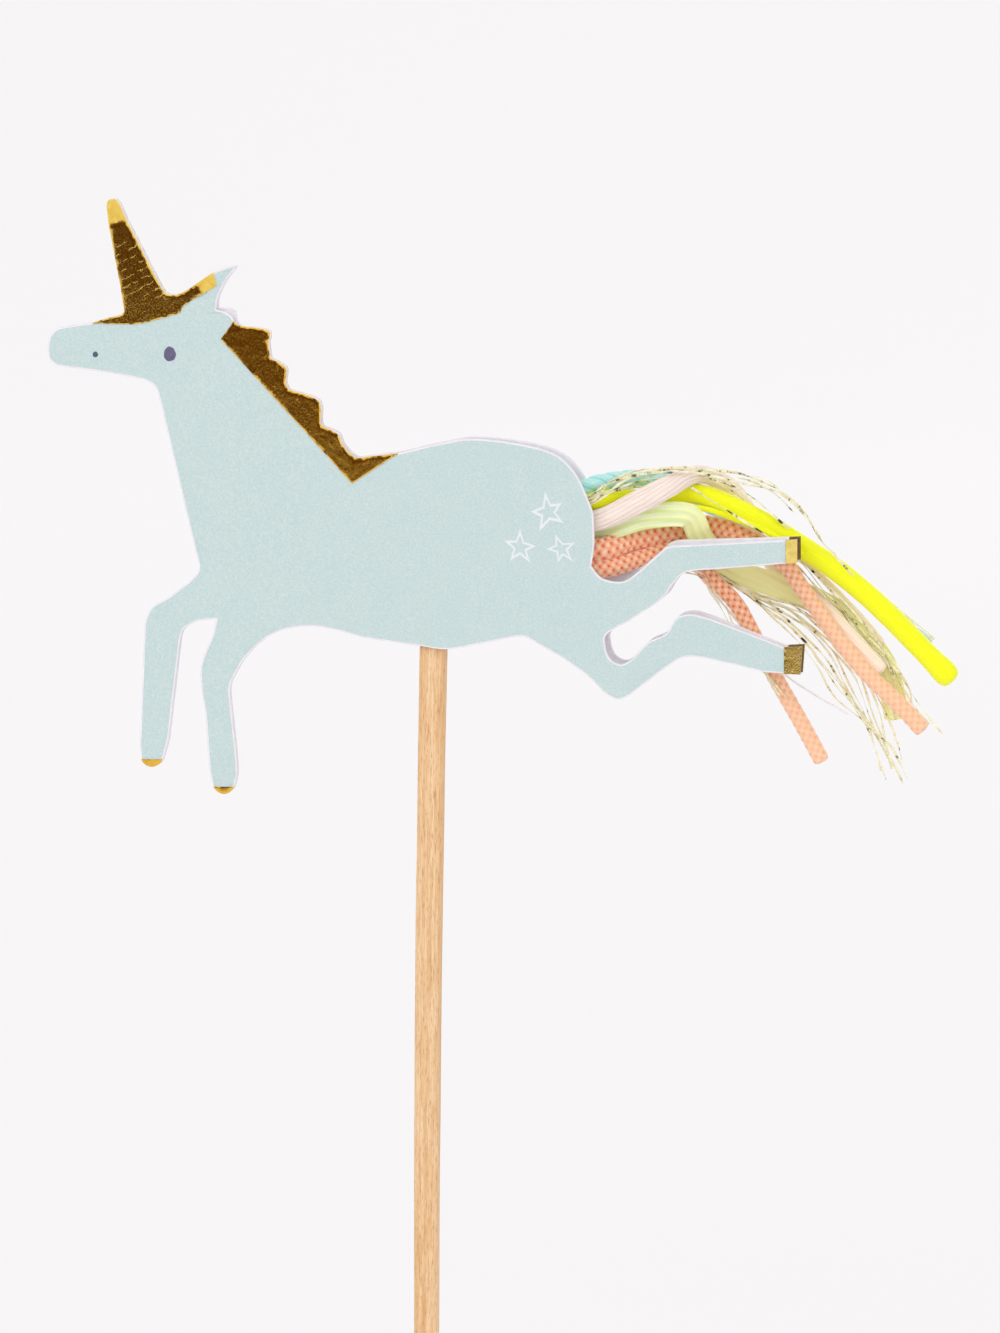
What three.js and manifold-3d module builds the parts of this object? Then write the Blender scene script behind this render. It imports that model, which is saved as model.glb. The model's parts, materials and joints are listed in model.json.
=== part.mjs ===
// A cupcake topper: two die-cut unicorn cards glued round a flat wooden stick, with gold foil on
// both outer faces and a tail of cords, ribbon and tinsel that leaves between the cards at the rump.
// Millimetres. +Z runs up the stick, the unicorn faces -X and its front card faces -Y.
// The origin is the middle of the stick's flat lower end.

import * as THREE from 'three';
import { mergeVertices } from 'three/addons/utils/BufferGeometryUtils.js';
import Module from 'manifold-3d';

// Stick
const STICK_WIDTH = 2.8;
const STICK_THICKNESS = 2.0;
const STICK_LENGTH = 91;
const STICK_EDGE = 0.3;
const STICK_BELOW_CARD = 75;

// Cards
const CARD_THICKNESS = 0.5;
const CARD_LEAN = 0.8;
const FACE_MARGIN = 4;
const CARD_LEFT = -40;
const CARD_RIGHT = 38;
const CARD_BOTTOM = -16;
const CARD_TOP = 46.5;

// Spread of the two cards: half the gap between them, and where along X it changes
const TAPE_THICKNESS = 0.3;
const STICK_GLUE_THICKNESS = 0.2;
const RUMP_HALF_GAP = 1.85;
const TAPED_UP_TO = -12.5;
const STICK_LAND = 2.0;
const RUMP_FROM = 16;

// Gold foil
const FOIL_THICKNESS = 0.06;
const FOIL_CLEARANCE = 0.03;
const FORE_HOOF_LEFT_TOP = -11.5;
const FORE_HOOF_RIGHT_TOP = -14.0;
const HIND_HOOF_UPPER_FROM = 35.1;
const HIND_HOOF_LOWER_FROM = 34.9;

// Glue beads on the stick, from just above the belly's edge to just below the stick's upper end
const STICK_GLUE_WIDTH = 2.0;
const STICK_GLUE_MARGIN = 2;
const STICK_GLUE_FROM = STICK_GLUE_MARGIN;
const STICK_GLUE_TO = STICK_LENGTH - STICK_BELOW_CARD - STICK_GLUE_MARGIN;

// Root of the tassel, between the cards
const ROOT_THICKNESS = 1.8;
const ROOT_FROM = 4;
const ROOT_NECK_TO = 8;
const ROOT_NECK_LOW = 10.2;
const ROOT_NECK_HIGH = 14.2;
const THREAD_FROM = 5;
const THREAD_WIDTH = 1.5;
const THREAD_WALL = 0.25;
const THREAD_CLEARANCE = 0.05;
const ROOT_GLUE_FROM = 9;
const ROOT_GLUE_TO = 13;
const ROOT_GLUE_LOW = 10;
const ROOT_GLUE_HIGH = 14.5;
const GLUE_CLEARANCE = 0.03;

// Tail cords
const TURQUOISE_DIAMETER = 1.8;
const YELLOW_DIAMETER = 2.1;
const PINK_DIAMETER = 1.6;
const CORAL_DIAMETER = 1.6;
const TINSEL_DIAMETER = 0.6;
const RIBBON_WIDTH = 1.8;
const RIBBON_THICKNESS = 0.4;
const CORD_SIDES = 8;
const STEP_PER_DIAMETER = 2;
const TINSEL_STEP = 3.4;
const RIBBON_STEP = 3.5;

const wasm = await Module();
wasm.setup();

// An outline in the plane of the cards, from a start point through lines and smooth curves.
function outline(start, stretches) {
  const shape = new THREE.Shape();
  shape.moveTo(...start);
  for (const { curve, line } of stretches) {
    if (curve) {
      shape.splineThru(curve.map((point) => new THREE.Vector2(...point)));
    } else {
      line.forEach((point) => shape.lineTo(...point));
    }
  }
  return shape;
}

const polygon = (points) => new THREE.Shape(points.map((point) => new THREE.Vector2(...point)));

const rectangle = (left, low, right, high) =>
  polygon([[left, low], [right, low], [right, high], [left, high]]);

// The unicorn, clockwise from the tip of the nose. X runs along the body, Z up from the belly.
const UNICORN = outline([-38.6, 29.1], [
  { curve: [[-38.3, 30.3], [-37.0, 31.5], [-34.2, 32.0]] },
  { curve: [[-33.0, 32.5], [-31.0, 33.0]] },
  { line: [[-30.9, 33.4], [-31.2, 34.4], [-32.7, 43.7]] },
  { curve: [[-32.1, 44.4], [-31.4, 44.0]] },
  { line: [[-27.6, 36.1]] },
  { curve: [[-26.4, 34.9], [-24.9, 35.0], [-22.1, 37.1], [-19.8, 38.0]] },
  { curve: [[-20.8, 36.1], [-21.7, 34.5], [-21.8, 33.7]] },
  { line: [[-19.9, 32.4]] },
  { curve: [[-19.3, 31.8], [-17.6, 31.6], [-16.4, 31.2], [-16.5, 30.0], [-16.3, 28.6]] },
  { curve: [[-14.8, 27.7], [-14.8, 26.2], [-14.5, 25.5]] },
  { curve: [[-12.1, 24.8], [-11.3, 24.0], [-11.3, 22.4], [-11.1, 21.9]] },
  { curve: [[-9.6, 21.2], [-9.0, 20.0], [-7.8, 18.9], [-6.5, 19.0]] },
  { curve: [[-3.4, 19.4], [0.3, 20.3], [4.6, 20.9], [11.2, 19.9], [14.2, 17.8], [16.1, 13.8]] },
  { curve: [[16.2, 10.8], [15.9, 8.5]] },
  { curve: [[17.0, 7.3], [19.0, 7.0], [20.6, 8.0]] },
  { line: [[23.3, 10.4], [24.0, 10.6], [36.2, 11.3], [36.2, 9.0], [28.3, 8.3]] },
  { curve: [[25.4, 8.0], [24.0, 6.8], [22.9, 5.3], [19.7, 3.1]] },
  { curve: [[17.5, 1.8], [17.3, 0.6], [17.8, -0.7], [18.9, -1.2], [20.0, -0.6]] },
  { curve: [[21.5, 1.0], [23.3, 1.9], [24.3, 3.4], [25.8, 3.8], [27.8, 3.3]] },
  { line: [[34.9, 0.6], [36.7, 0.7], [36.5, -2.1], [32.8, -1.9]] },
  { curve: [[28.7, -0.9], [25.4, -0.4], [23.4, -1.4]] },
  { line: [[19.8, -4.2]] },
  { curve: [[18.6, -4.7], [17.3, -4.1], [15.4, -2.3], [12.9, -0.6]] },
  { line: [[10.0, 1.0]] },
  { curve: [[8.6, 1.4], [4.8, 0.6], [1.4, 0.0], [-1.3, 0.3], [-7.1, 1.0]] },
  { curve: [[-10.3, 1.8], [-13.0, 2.0], [-16.2, 1.2], [-18.8, -1.0], [-20.4, -3.6]] },
  { curve: [[-20.5, -5.0], [-20.0, -9.9], [-19.8, -12.7]] },
  { curve: [[-20.0, -14.0], [-21.0, -14.8], [-22.0, -13.9], [-22.6, -12.0]] },
  { line: [[-23.0, -6.8]] },
  { curve: [[-23.4, -4.5], [-23.4, -1.9], [-22.3, 0.9], [-21.9, 2.6]] },
  { curve: [[-23.7, 2.4], [-25.2, 1.5], [-25.6, -0.2]] },
  { line: [[-26.6, -8.9]] },
  { curve: [[-27.1, -11.3], [-28.4, -12.3], [-29.5, -11.1], [-29.6, -9.4]] },
  { line: [[-29.1, 2.1]] },
  { curve: [[-28.4, 3.7], [-26.5, 4.9], [-24.0, 6.9], [-23.6, 7.9]] },
  { line: [[-27.4, 24.2]] },
  { curve: [[-27.9, 25.7], [-29.2, 26.4], [-33.0, 27.1]] },
  { curve: [[-37.3, 27.7], [-38.6, 29.1]] },
]);

// Where the foil lies. Each region runs past the card's edge, which trims it.
const MANE_REGION = polygon([
  [-21.3, 30.5], [-8.1, 16.3], [-3.4, 19.4], [-6.0, 34.1], [-18.5, 33.9], [-19.9, 32.4],
]);
const HORN_REGION = outline([-34.2, 32.0], [
  { curve: [[-30.1, 31.9], [-28.3, 32.2], [-25.4, 33.1]] },
  { line: [[-25.2, 33.5], [-23.2, 35.1], [-21.7, 36.1], [-22.1, 37.3]] },
  { line: [[-23.5, 38.7], [-27.0, CARD_TOP], [-36.0, CARD_TOP], [-36.0, 32.9]] },
]);
const FOIL_REGIONS = {
  horn_foil: HORN_REGION,
  mane_foil: MANE_REGION,
  fore_hoof_foil_left: rectangle(-31, CARD_BOTTOM, -25, FORE_HOOF_LEFT_TOP),
  fore_hoof_foil_right: rectangle(-24, CARD_BOTTOM, -18, FORE_HOOF_RIGHT_TOP),
  hind_hoof_foil_upper: rectangle(HIND_HOOF_UPPER_FROM, 7.5, CARD_RIGHT, 12.5),
  hind_hoof_foil_lower: rectangle(HIND_HOOF_LOWER_FROM, -3.5, CARD_RIGHT, 2),
};

// Tape patches between the flat front halves
const TAPES = {
  head_tape: rectangle(-34, 28.2, -25, 31.0),
  neck_tape: rectangle(-23.5, 13, -16.5, 24),
  foreleg_tape_left: rectangle(-28.5, -9, -27.1, 1.5),
  foreleg_tape_right: rectangle(-22.3, -12, -20.9, -3),
};

// Half the gap between the cards, from the taped front to the rump: [x, half gap]
const SPREAD = [
  [CARD_LEFT, TAPE_THICKNESS / 2],
  [TAPED_UP_TO, TAPE_THICKNESS / 2],
  [-STICK_LAND, STICK_THICKNESS / 2 + STICK_GLUE_THICKNESS],
  [STICK_LAND, STICK_THICKNESS / 2 + STICK_GLUE_THICKNESS],
  [RUMP_FROM, RUMP_HALF_GAP],
  [CARD_RIGHT, RUMP_HALF_GAP],
];

function halfGapAt(x) {
  const next = SPREAD.findIndex(([station]) => station >= x);
  const [x0, gap0] = SPREAD[next - 1];
  const [x1, gap1] = SPREAD[next];
  return THREE.MathUtils.mapLinear(x, x0, x1, gap0, gap1);
}

// A closed geometry as a manifold solid, and back
function toSolid(geometry) {
  const bare = geometry.clone();
  bare.deleteAttribute('normal');
  bare.deleteAttribute('uv');
  const merged = mergeVertices(bare, 1e-5);
  return new wasm.Manifold(new wasm.Mesh({
    numProp: 3,
    vertProperties: new Float32Array(merged.attributes.position.array),
    triVerts: new Uint32Array(merged.index.array),
  }));
}

function toGeometry(solid) {
  const mesh = solid.getMesh();
  const geometry = new THREE.BufferGeometry();
  geometry.setAttribute('position', new THREE.BufferAttribute(new Float32Array(mesh.vertProperties), 3));
  geometry.setIndex(new THREE.BufferAttribute(new Uint32Array(mesh.triVerts), 1));
  return geometry;
}

// A flat shape in the plane of the cards as a prism along Y, from y = from to y = to
function prism(shape, from, to, curveSegments = 3) {
  const settings = { depth: to - from, bevelEnabled: false, curveSegments };
  const geometry = new THREE.ExtrudeGeometry(shape, settings);
  geometry.rotateX(Math.PI / 2);
  geometry.translate(0, to, 0);
  return geometry;
}

// A sheet that follows the spread of the cards, at a distance off the card's inner face.
// side is -1 for the front card and +1 for the back card.
function bentSheet(side, near, far) {
  const inner = SPREAD.map(([x, gap]) => [x, side * (gap + near)]);
  const outer = SPREAD.map(([x, gap]) => [x, side * (gap + far)]).reverse();
  const geometry = new THREE.ExtrudeGeometry(polygon([...inner, ...outer]), {
    depth: CARD_TOP - CARD_BOTTOM,
    bevelEnabled: false,
  });
  geometry.translate(0, 0, CARD_BOTTOM);
  return toSolid(geometry);
}

const unicornPrism = toSolid(prism(UNICORN, -FACE_MARGIN, FACE_MARGIN));

const card = (side) => toGeometry(bentSheet(side, 0, CARD_THICKNESS).intersect(unicornPrism));

function foil(side, region) {
  const near = CARD_THICKNESS + FOIL_CLEARANCE;
  const film = bentSheet(side, near, near + FOIL_THICKNESS);
  const cutter = toSolid(prism(region, -FACE_MARGIN, FACE_MARGIN));
  return toGeometry(film.intersect(unicornPrism).intersect(cutter));
}

function stick() {
  const x = STICK_WIDTH / 2;
  const y = STICK_THICKNESS / 2;
  const section = polygon([
    [-x + STICK_EDGE, -y], [x - STICK_EDGE, -y], [x, -y + STICK_EDGE], [x, y - STICK_EDGE],
    [x - STICK_EDGE, y], [-x + STICK_EDGE, y], [-x, y - STICK_EDGE], [-x, -y + STICK_EDGE],
  ]);
  return new THREE.ExtrudeGeometry(section, { depth: STICK_LENGTH, bevelEnabled: false });
}

function stickGlue(side) {
  const bead = rectangle(-STICK_GLUE_WIDTH / 2, STICK_GLUE_FROM, STICK_GLUE_WIDTH / 2, STICK_GLUE_TO);
  const near = STICK_THICKNESS / 2;
  const far = near + STICK_GLUE_THICKNESS;
  return prism(bead, Math.min(side * near, side * far), Math.max(side * near, side * far));
}

// The strands' gathered ends: a bound neck that fans out to the rump, just inside its edge
function tasselRoot() {
  const fan = outline([ROOT_FROM, ROOT_NECK_LOW], [
    { line: [[ROOT_NECK_TO, ROOT_NECK_LOW], [14.9, 7.6], [15.3, 9.0]] },
    { curve: [[15.4, 11.0], [15.2, 13.4], [13.9, 16.6]] },
    { line: [[ROOT_NECK_TO, ROOT_NECK_HIGH], [ROOT_FROM, ROOT_NECK_HIGH]] },
  ]);
  return prism(fan, -ROOT_THICKNESS / 2, ROOT_THICKNESS / 2);
}

function bindingThread() {
  const half = ROOT_THICKNESS / 2 + THREAD_CLEARANCE;
  const low = ROOT_NECK_LOW - THREAD_CLEARANCE;
  const high = ROOT_NECK_HIGH + THREAD_CLEARANCE;
  const band = rectangle(low - THREAD_WALL, -half - THREAD_WALL, high + THREAD_WALL, half + THREAD_WALL);
  band.holes.push(new THREE.Path(rectangle(low, -half, high, half).getPoints()));
  const geometry = new THREE.ExtrudeGeometry(band, { depth: THREAD_WIDTH, bevelEnabled: false });
  geometry.rotateY(-Math.PI / 2);
  geometry.translate(THREAD_FROM + THREAD_WIDTH, 0, 0);
  return geometry;
}

// The pad of glue between the tassel's root and one card
function rootGlue(side) {
  const near = side * ROOT_THICKNESS / 2;
  const plan = polygon([
    [ROOT_GLUE_FROM, near], [ROOT_GLUE_TO, near],
    [ROOT_GLUE_TO, side * (halfGapAt(ROOT_GLUE_TO) - GLUE_CLEARANCE)],
    [ROOT_GLUE_FROM, side * (halfGapAt(ROOT_GLUE_FROM) - GLUE_CLEARANCE)],
  ]);
  const depth = ROOT_GLUE_HIGH - ROOT_GLUE_LOW;
  const geometry = new THREE.ExtrudeGeometry(plan, { depth, bevelEnabled: false });
  geometry.translate(0, 0, ROOT_GLUE_LOW);
  return geometry;
}

// A cord or ribbon along hand-chosen points, [x, y, z] in the plane of the cards
function strand(route, section, step) {
  const path = new THREE.CatmullRomCurve3(route.map((point) => new THREE.Vector3(...point)));
  const steps = Math.round(path.getLength() / step);
  return new THREE.ExtrudeGeometry(section, { steps, extrudePath: path, bevelEnabled: false });
}

function roundCord(route, diameter, step = STEP_PER_DIAMETER * diameter) {
  const corners = Array.from({ length: CORD_SIDES }, (_, i) => {
    const angle = 2 * Math.PI * i / CORD_SIDES;
    return [Math.cos(angle) * diameter / 2, Math.sin(angle) * diameter / 2];
  });
  return strand(route, polygon(corners), step);
}

// The ribbon lies flat to the cards, so its thin side runs along Y.
function flatRibbon(route) {
  const x = RIBBON_THICKNESS / 2;
  const y = RIBBON_WIDTH / 2;
  return strand(route, rectangle(-x, -y, x, y), RIBBON_STEP);
}

const TURQUOISE_ROUTE = [
  [15.0, 0.4, 16.8], [17.0, 1.7, 17.1], [19.5, 3.6, 17.3], [22.5, 5.6, 17.0], [25.0, 7.7, 15.0],
  [27.5, 9.0, 12.4], [31.6, 9.4, 9.6], [35.8, 9.4, 7.8], [39.8, 9.4, 6.3], [43.4, 9.4, 4.4],
  [46.1, 9.4, 2.6], [48.7, 9.4, 0.3],
];
const YELLOW_ROUTE = [
  [15.9, 0.4, 14.7], [18.2, 2.1, 14.8], [21.3, 3.2, 14.6], [24.5, 3.6, 15.3], [27.2, 3.5, 14.9],
  [30.0, 3.5, 13.7], [32.6, 3.8, 12.3], [35.4, 4.0, 10.5], [39.1, 4.0, 8.1], [43.2, 4.0, 4.8],
  [47.0, 4.0, 1.1], [50.7, 4.0, -2.7],
];
const PINK_ROUTE = [
  [16.0, -0.6, 12.8], [19.8, 0.0, 14.6], [23.1, 0.9, 16.2], [25.1, 2.5, 17.2], [26.8, 4.8, 16.9],
  [29.0, 6.7, 15.3], [31.4, 7.3, 11.8], [34.0, 7.3, 8.0], [38.4, 7.3, 5.1], [41.5, 7.3, 1.8],
  [43.8, 7.3, -1.7],
];
const RIBBON_ROUTE = [
  [16.0, 0.95, 12.0], [18.3, 0.75, 12.6], [20.7, 1.1, 13.3], [23.8, 1.5, 13.6], [25.4, 2.0, 13.0],
  [26.1, 3.3, 10.9], [27.8, 5.2, 8.2], [30.2, 5.8, 6.3], [33.2, 5.8, 5.3], [36.5, 5.8, 4.6],
  [39.8, 5.8, 3.2], [42.6, 5.8, 0.6], [44.6, 5.8, -2.2], [45.7, 5.8, -6.1],
];
const CORAL_UPPER_ROUTE = [
  [16.1, 0.1, 10.2], [19.4, 2.5, 11.2], [23.9, 4.6, 12.0], [26.8, 5.0, 12.1], [30.1, 4.6, 11.4],
  [34.1, 4.1, 8.8], [35.9, 4.1, 6.4], [38.0, 4.1, 3.8], [40.2, 4.1, 0.9], [43.2, 4.1, -2.7],
  [45.8, 4.1, -5.5], [48.0, 4.1, -7.9],
];
const CORAL_LOWER_ROUTE = [
  [16.0, 0.0, 8.4], [20.1, 2.6, 9.5], [22.8, 3.9, 10.3], [25.2, 4.0, 9.1], [26.9, 4.0, 7.0],
  [29.4, 4.0, 4.5], [31.1, 4.0, 1.6], [33.4, 3.9, -2.8], [35.9, 3.8, -7.1], [38.2, 3.8, -11.3],
];
const TINSEL_ARC_ROUTE = [
  [15.7, -1.0, 15.0], [17.3, -0.4, 16.4], [19.4, 0.2, 17.4], [21.9, 0.6, 17.9], [24.3, 0.9, 18.1],
  [27.2, 1.5, 17.8], [30.1, 2.1, 17.4], [32.3, 2.4, 16.6], [34.6, 2.4, 15.4], [36.6, 2.4, 13.5],
  [37.9, 2.4, 11.1], [39.7, 2.4, 9.2], [41.3, 2.4, 7.4],
];
const TINSEL_FAN_ROUTE = [
  [16.1, 1.2, 7.9], [18.4, 2.4, 7.8], [21.0, 4.4, 8.1], [23.8, 5.6, 7.9], [28.2, 5.5, 5.7],
  [33.7, 5.3, 2.3], [38.6, 5.25, -2.1], [41.9, 5.25, -6.5], [44.6, 5.25, -12.1],
];

const finish = (color, roughness, metalness = 0) =>
  new THREE.MeshStandardMaterial({ color, roughness, metalness });

const MATERIALS = {
  front: finish('#c8dedd', 0.85),
  back: finish('#c8dedd', 0.85),
  foil: finish('#a8761c', 0.25, 1),
  wood: finish('#e3b886', 0.7),
  glue: finish('#efe9dc', 0.4),
  tape: finish('#f2f0ea', 0.5),
  thread: finish('#f1ece2', 0.8),
  root: finish('#f0c9a8', 0.9),
  turquoise: finish('#a5e9ec', 0.9),
  yellow: finish('#f4ff00', 0.6),
  pink: finish('#f3dcd8', 0.85),
  green: finish('#c9dd86', 0.4),
  coral: finish('#f7936b', 0.85),
  tinsel: finish('#e6d08a', 0.25, 1),
};

function part(name, geometry, material) {
  const mesh = new THREE.Mesh(geometry, material);
  mesh.name = name;
  return mesh;
}

function frontAndBack(group, name, material, make) {
  group.add(part(`${name}_front`, make(-1), material));
  group.add(part(`${name}_back`, make(1), material));
}

const topper = new THREE.Group();
topper.add(part('stick', stick(), MATERIALS.wood));

// The cards, and all that they carry, sit a little askew on the stick.
const unicorn = new THREE.Group();
unicorn.position.z = STICK_BELOW_CARD;
unicorn.rotation.y = THREE.MathUtils.degToRad(-CARD_LEAN);
topper.add(unicorn);

unicorn.add(part('front_card', card(-1), MATERIALS.front));
unicorn.add(part('back_card', card(1), MATERIALS.back));
for (const [name, region] of Object.entries(FOIL_REGIONS)) {
  frontAndBack(unicorn, name, MATERIALS.foil, (side) => foil(side, region));
}
for (const [name, patch] of Object.entries(TAPES)) {
  unicorn.add(part(name, prism(patch, -TAPE_THICKNESS / 2, TAPE_THICKNESS / 2), MATERIALS.tape));
}
frontAndBack(unicorn, 'stick_glue', MATERIALS.glue, stickGlue);

unicorn.add(part('tassel_root', tasselRoot(), MATERIALS.root));
unicorn.add(part('binding_thread', bindingThread(), MATERIALS.thread));
frontAndBack(unicorn, 'tassel_glue', MATERIALS.glue, rootGlue);

unicorn.add(part('turquoise_yarn', roundCord(TURQUOISE_ROUTE, TURQUOISE_DIAMETER), MATERIALS.turquoise));
unicorn.add(part('yellow_cord', roundCord(YELLOW_ROUTE, YELLOW_DIAMETER), MATERIALS.yellow));
unicorn.add(part('pink_floss', roundCord(PINK_ROUTE, PINK_DIAMETER), MATERIALS.pink));
unicorn.add(part('green_ribbon', flatRibbon(RIBBON_ROUTE), MATERIALS.green));
unicorn.add(part('coral_cord_upper', roundCord(CORAL_UPPER_ROUTE, CORAL_DIAMETER), MATERIALS.coral));
unicorn.add(part('coral_cord_lower', roundCord(CORAL_LOWER_ROUTE, CORAL_DIAMETER), MATERIALS.coral));
unicorn.add(part('tinsel_arc', roundCord(TINSEL_ARC_ROUTE, TINSEL_DIAMETER, TINSEL_STEP), MATERIALS.tinsel));
unicorn.add(part('tinsel_fan', roundCord(TINSEL_FAN_ROUTE, TINSEL_DIAMETER, TINSEL_STEP), MATERIALS.tinsel));

export default topper;
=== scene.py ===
# Cupcake topper: two die-cut unicorn cards round a flat wooden stick, gold foil on both outer
# faces, and a tail of cords, ribbon and tinsel that leaves between the cards at the rump.
# Points on the cards and in the tail are in millimetres: along the body, through the cards and
# up from the belly. CARD_PLACE carries them into the shared frame, in metres.

import json
import math
import random

import bmesh
import bpy
from mathutils import Matrix, Vector, kdtree, noise
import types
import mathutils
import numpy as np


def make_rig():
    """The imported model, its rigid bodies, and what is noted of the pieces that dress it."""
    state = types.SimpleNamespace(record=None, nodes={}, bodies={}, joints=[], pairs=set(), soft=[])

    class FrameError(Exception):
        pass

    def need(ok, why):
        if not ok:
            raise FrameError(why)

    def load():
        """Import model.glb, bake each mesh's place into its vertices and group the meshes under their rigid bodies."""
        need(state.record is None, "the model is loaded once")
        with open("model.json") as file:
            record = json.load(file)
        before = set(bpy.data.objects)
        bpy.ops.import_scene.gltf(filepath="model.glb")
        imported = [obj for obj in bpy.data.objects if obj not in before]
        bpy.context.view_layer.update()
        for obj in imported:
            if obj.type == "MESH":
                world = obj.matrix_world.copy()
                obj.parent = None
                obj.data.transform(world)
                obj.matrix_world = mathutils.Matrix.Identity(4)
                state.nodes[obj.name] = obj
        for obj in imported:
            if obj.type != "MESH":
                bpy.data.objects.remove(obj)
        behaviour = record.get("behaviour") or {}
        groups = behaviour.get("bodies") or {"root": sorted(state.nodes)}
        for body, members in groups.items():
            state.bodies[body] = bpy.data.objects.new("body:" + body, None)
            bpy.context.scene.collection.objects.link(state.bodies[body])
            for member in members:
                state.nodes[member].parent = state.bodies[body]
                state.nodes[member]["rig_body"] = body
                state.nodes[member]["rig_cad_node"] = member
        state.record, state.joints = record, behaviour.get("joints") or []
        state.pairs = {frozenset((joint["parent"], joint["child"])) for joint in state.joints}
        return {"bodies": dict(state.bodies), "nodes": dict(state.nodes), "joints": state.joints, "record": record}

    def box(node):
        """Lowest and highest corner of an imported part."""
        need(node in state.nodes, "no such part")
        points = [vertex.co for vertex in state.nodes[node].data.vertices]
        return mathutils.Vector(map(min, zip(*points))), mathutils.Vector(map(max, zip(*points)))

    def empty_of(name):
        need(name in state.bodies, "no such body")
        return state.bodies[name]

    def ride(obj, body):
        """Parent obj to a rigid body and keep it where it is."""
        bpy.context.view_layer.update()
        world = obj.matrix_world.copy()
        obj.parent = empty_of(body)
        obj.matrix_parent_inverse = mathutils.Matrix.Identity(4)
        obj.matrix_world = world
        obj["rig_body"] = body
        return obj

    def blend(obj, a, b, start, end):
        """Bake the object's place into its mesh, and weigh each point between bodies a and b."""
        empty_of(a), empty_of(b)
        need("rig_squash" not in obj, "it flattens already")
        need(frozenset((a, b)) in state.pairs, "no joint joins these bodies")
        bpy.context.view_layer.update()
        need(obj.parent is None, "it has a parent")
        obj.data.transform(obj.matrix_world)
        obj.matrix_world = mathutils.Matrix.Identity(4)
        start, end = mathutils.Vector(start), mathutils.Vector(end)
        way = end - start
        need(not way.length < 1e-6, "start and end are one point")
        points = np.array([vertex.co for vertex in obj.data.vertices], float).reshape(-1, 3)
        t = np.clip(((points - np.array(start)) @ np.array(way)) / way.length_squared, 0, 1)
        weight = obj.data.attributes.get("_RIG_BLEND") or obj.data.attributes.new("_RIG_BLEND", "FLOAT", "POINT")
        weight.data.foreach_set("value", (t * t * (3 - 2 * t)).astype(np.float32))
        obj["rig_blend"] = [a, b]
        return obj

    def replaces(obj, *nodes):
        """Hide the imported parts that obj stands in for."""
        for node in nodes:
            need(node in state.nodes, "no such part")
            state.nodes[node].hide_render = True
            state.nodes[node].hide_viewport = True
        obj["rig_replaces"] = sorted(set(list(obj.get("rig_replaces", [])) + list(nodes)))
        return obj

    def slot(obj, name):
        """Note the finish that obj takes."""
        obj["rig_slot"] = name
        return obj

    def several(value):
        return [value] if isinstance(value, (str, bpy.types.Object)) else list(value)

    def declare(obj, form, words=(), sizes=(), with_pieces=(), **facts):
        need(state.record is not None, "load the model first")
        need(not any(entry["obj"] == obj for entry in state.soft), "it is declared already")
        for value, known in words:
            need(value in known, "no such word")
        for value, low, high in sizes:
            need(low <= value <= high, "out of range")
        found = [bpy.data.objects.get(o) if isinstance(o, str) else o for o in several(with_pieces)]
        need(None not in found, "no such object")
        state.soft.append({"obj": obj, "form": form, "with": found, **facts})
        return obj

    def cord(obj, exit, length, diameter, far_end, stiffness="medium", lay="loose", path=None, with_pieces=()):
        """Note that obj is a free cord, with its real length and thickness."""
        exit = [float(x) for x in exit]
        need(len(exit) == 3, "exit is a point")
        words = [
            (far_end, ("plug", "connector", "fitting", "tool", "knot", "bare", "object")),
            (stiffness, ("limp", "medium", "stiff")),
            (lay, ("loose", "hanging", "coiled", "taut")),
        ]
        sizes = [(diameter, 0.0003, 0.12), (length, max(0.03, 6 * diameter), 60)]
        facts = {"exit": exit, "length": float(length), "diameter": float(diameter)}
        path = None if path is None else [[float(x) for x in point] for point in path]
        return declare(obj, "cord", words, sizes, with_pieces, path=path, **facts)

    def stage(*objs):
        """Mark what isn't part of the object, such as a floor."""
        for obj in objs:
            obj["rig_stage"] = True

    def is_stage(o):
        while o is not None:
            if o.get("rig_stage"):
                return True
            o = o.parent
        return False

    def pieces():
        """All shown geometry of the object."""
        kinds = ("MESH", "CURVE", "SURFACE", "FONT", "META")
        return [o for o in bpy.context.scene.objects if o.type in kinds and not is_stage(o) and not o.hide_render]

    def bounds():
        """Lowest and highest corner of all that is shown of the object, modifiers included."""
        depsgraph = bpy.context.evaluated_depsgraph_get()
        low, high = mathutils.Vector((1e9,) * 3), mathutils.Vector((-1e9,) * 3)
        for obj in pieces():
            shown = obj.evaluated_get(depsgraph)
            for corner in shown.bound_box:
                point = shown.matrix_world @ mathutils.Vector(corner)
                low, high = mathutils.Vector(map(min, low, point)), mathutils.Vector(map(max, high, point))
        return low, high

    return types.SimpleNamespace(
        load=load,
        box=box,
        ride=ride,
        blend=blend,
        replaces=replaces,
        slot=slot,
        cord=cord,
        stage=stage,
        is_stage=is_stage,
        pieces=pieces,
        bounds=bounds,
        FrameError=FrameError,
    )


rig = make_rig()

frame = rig.load()
cad_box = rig.bounds()

MM = 0.001
CARD_LEAN = math.radians(0.8)
STICK_BELOW_CARD = 0.075
CARD_PLACE = (
    Matrix.Translation((0, 0, STICK_BELOW_CARD))
    @ Matrix.Rotation(-CARD_LEAN, 4, "Y")
    @ Matrix.Scale(MM, 4)
)
STICK_PLACE = Matrix.Scale(MM, 4)

# Camera
AIM = Vector((0.00652, 0.0, 0.07329))
AZIMUTH = math.radians(8.0)
ELEVATION = math.radians(6.0)
ROLL = math.radians(0.709)
DISTANCE = 0.9
LENS = 245.6
SENSOR_WIDTH = 36

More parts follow.
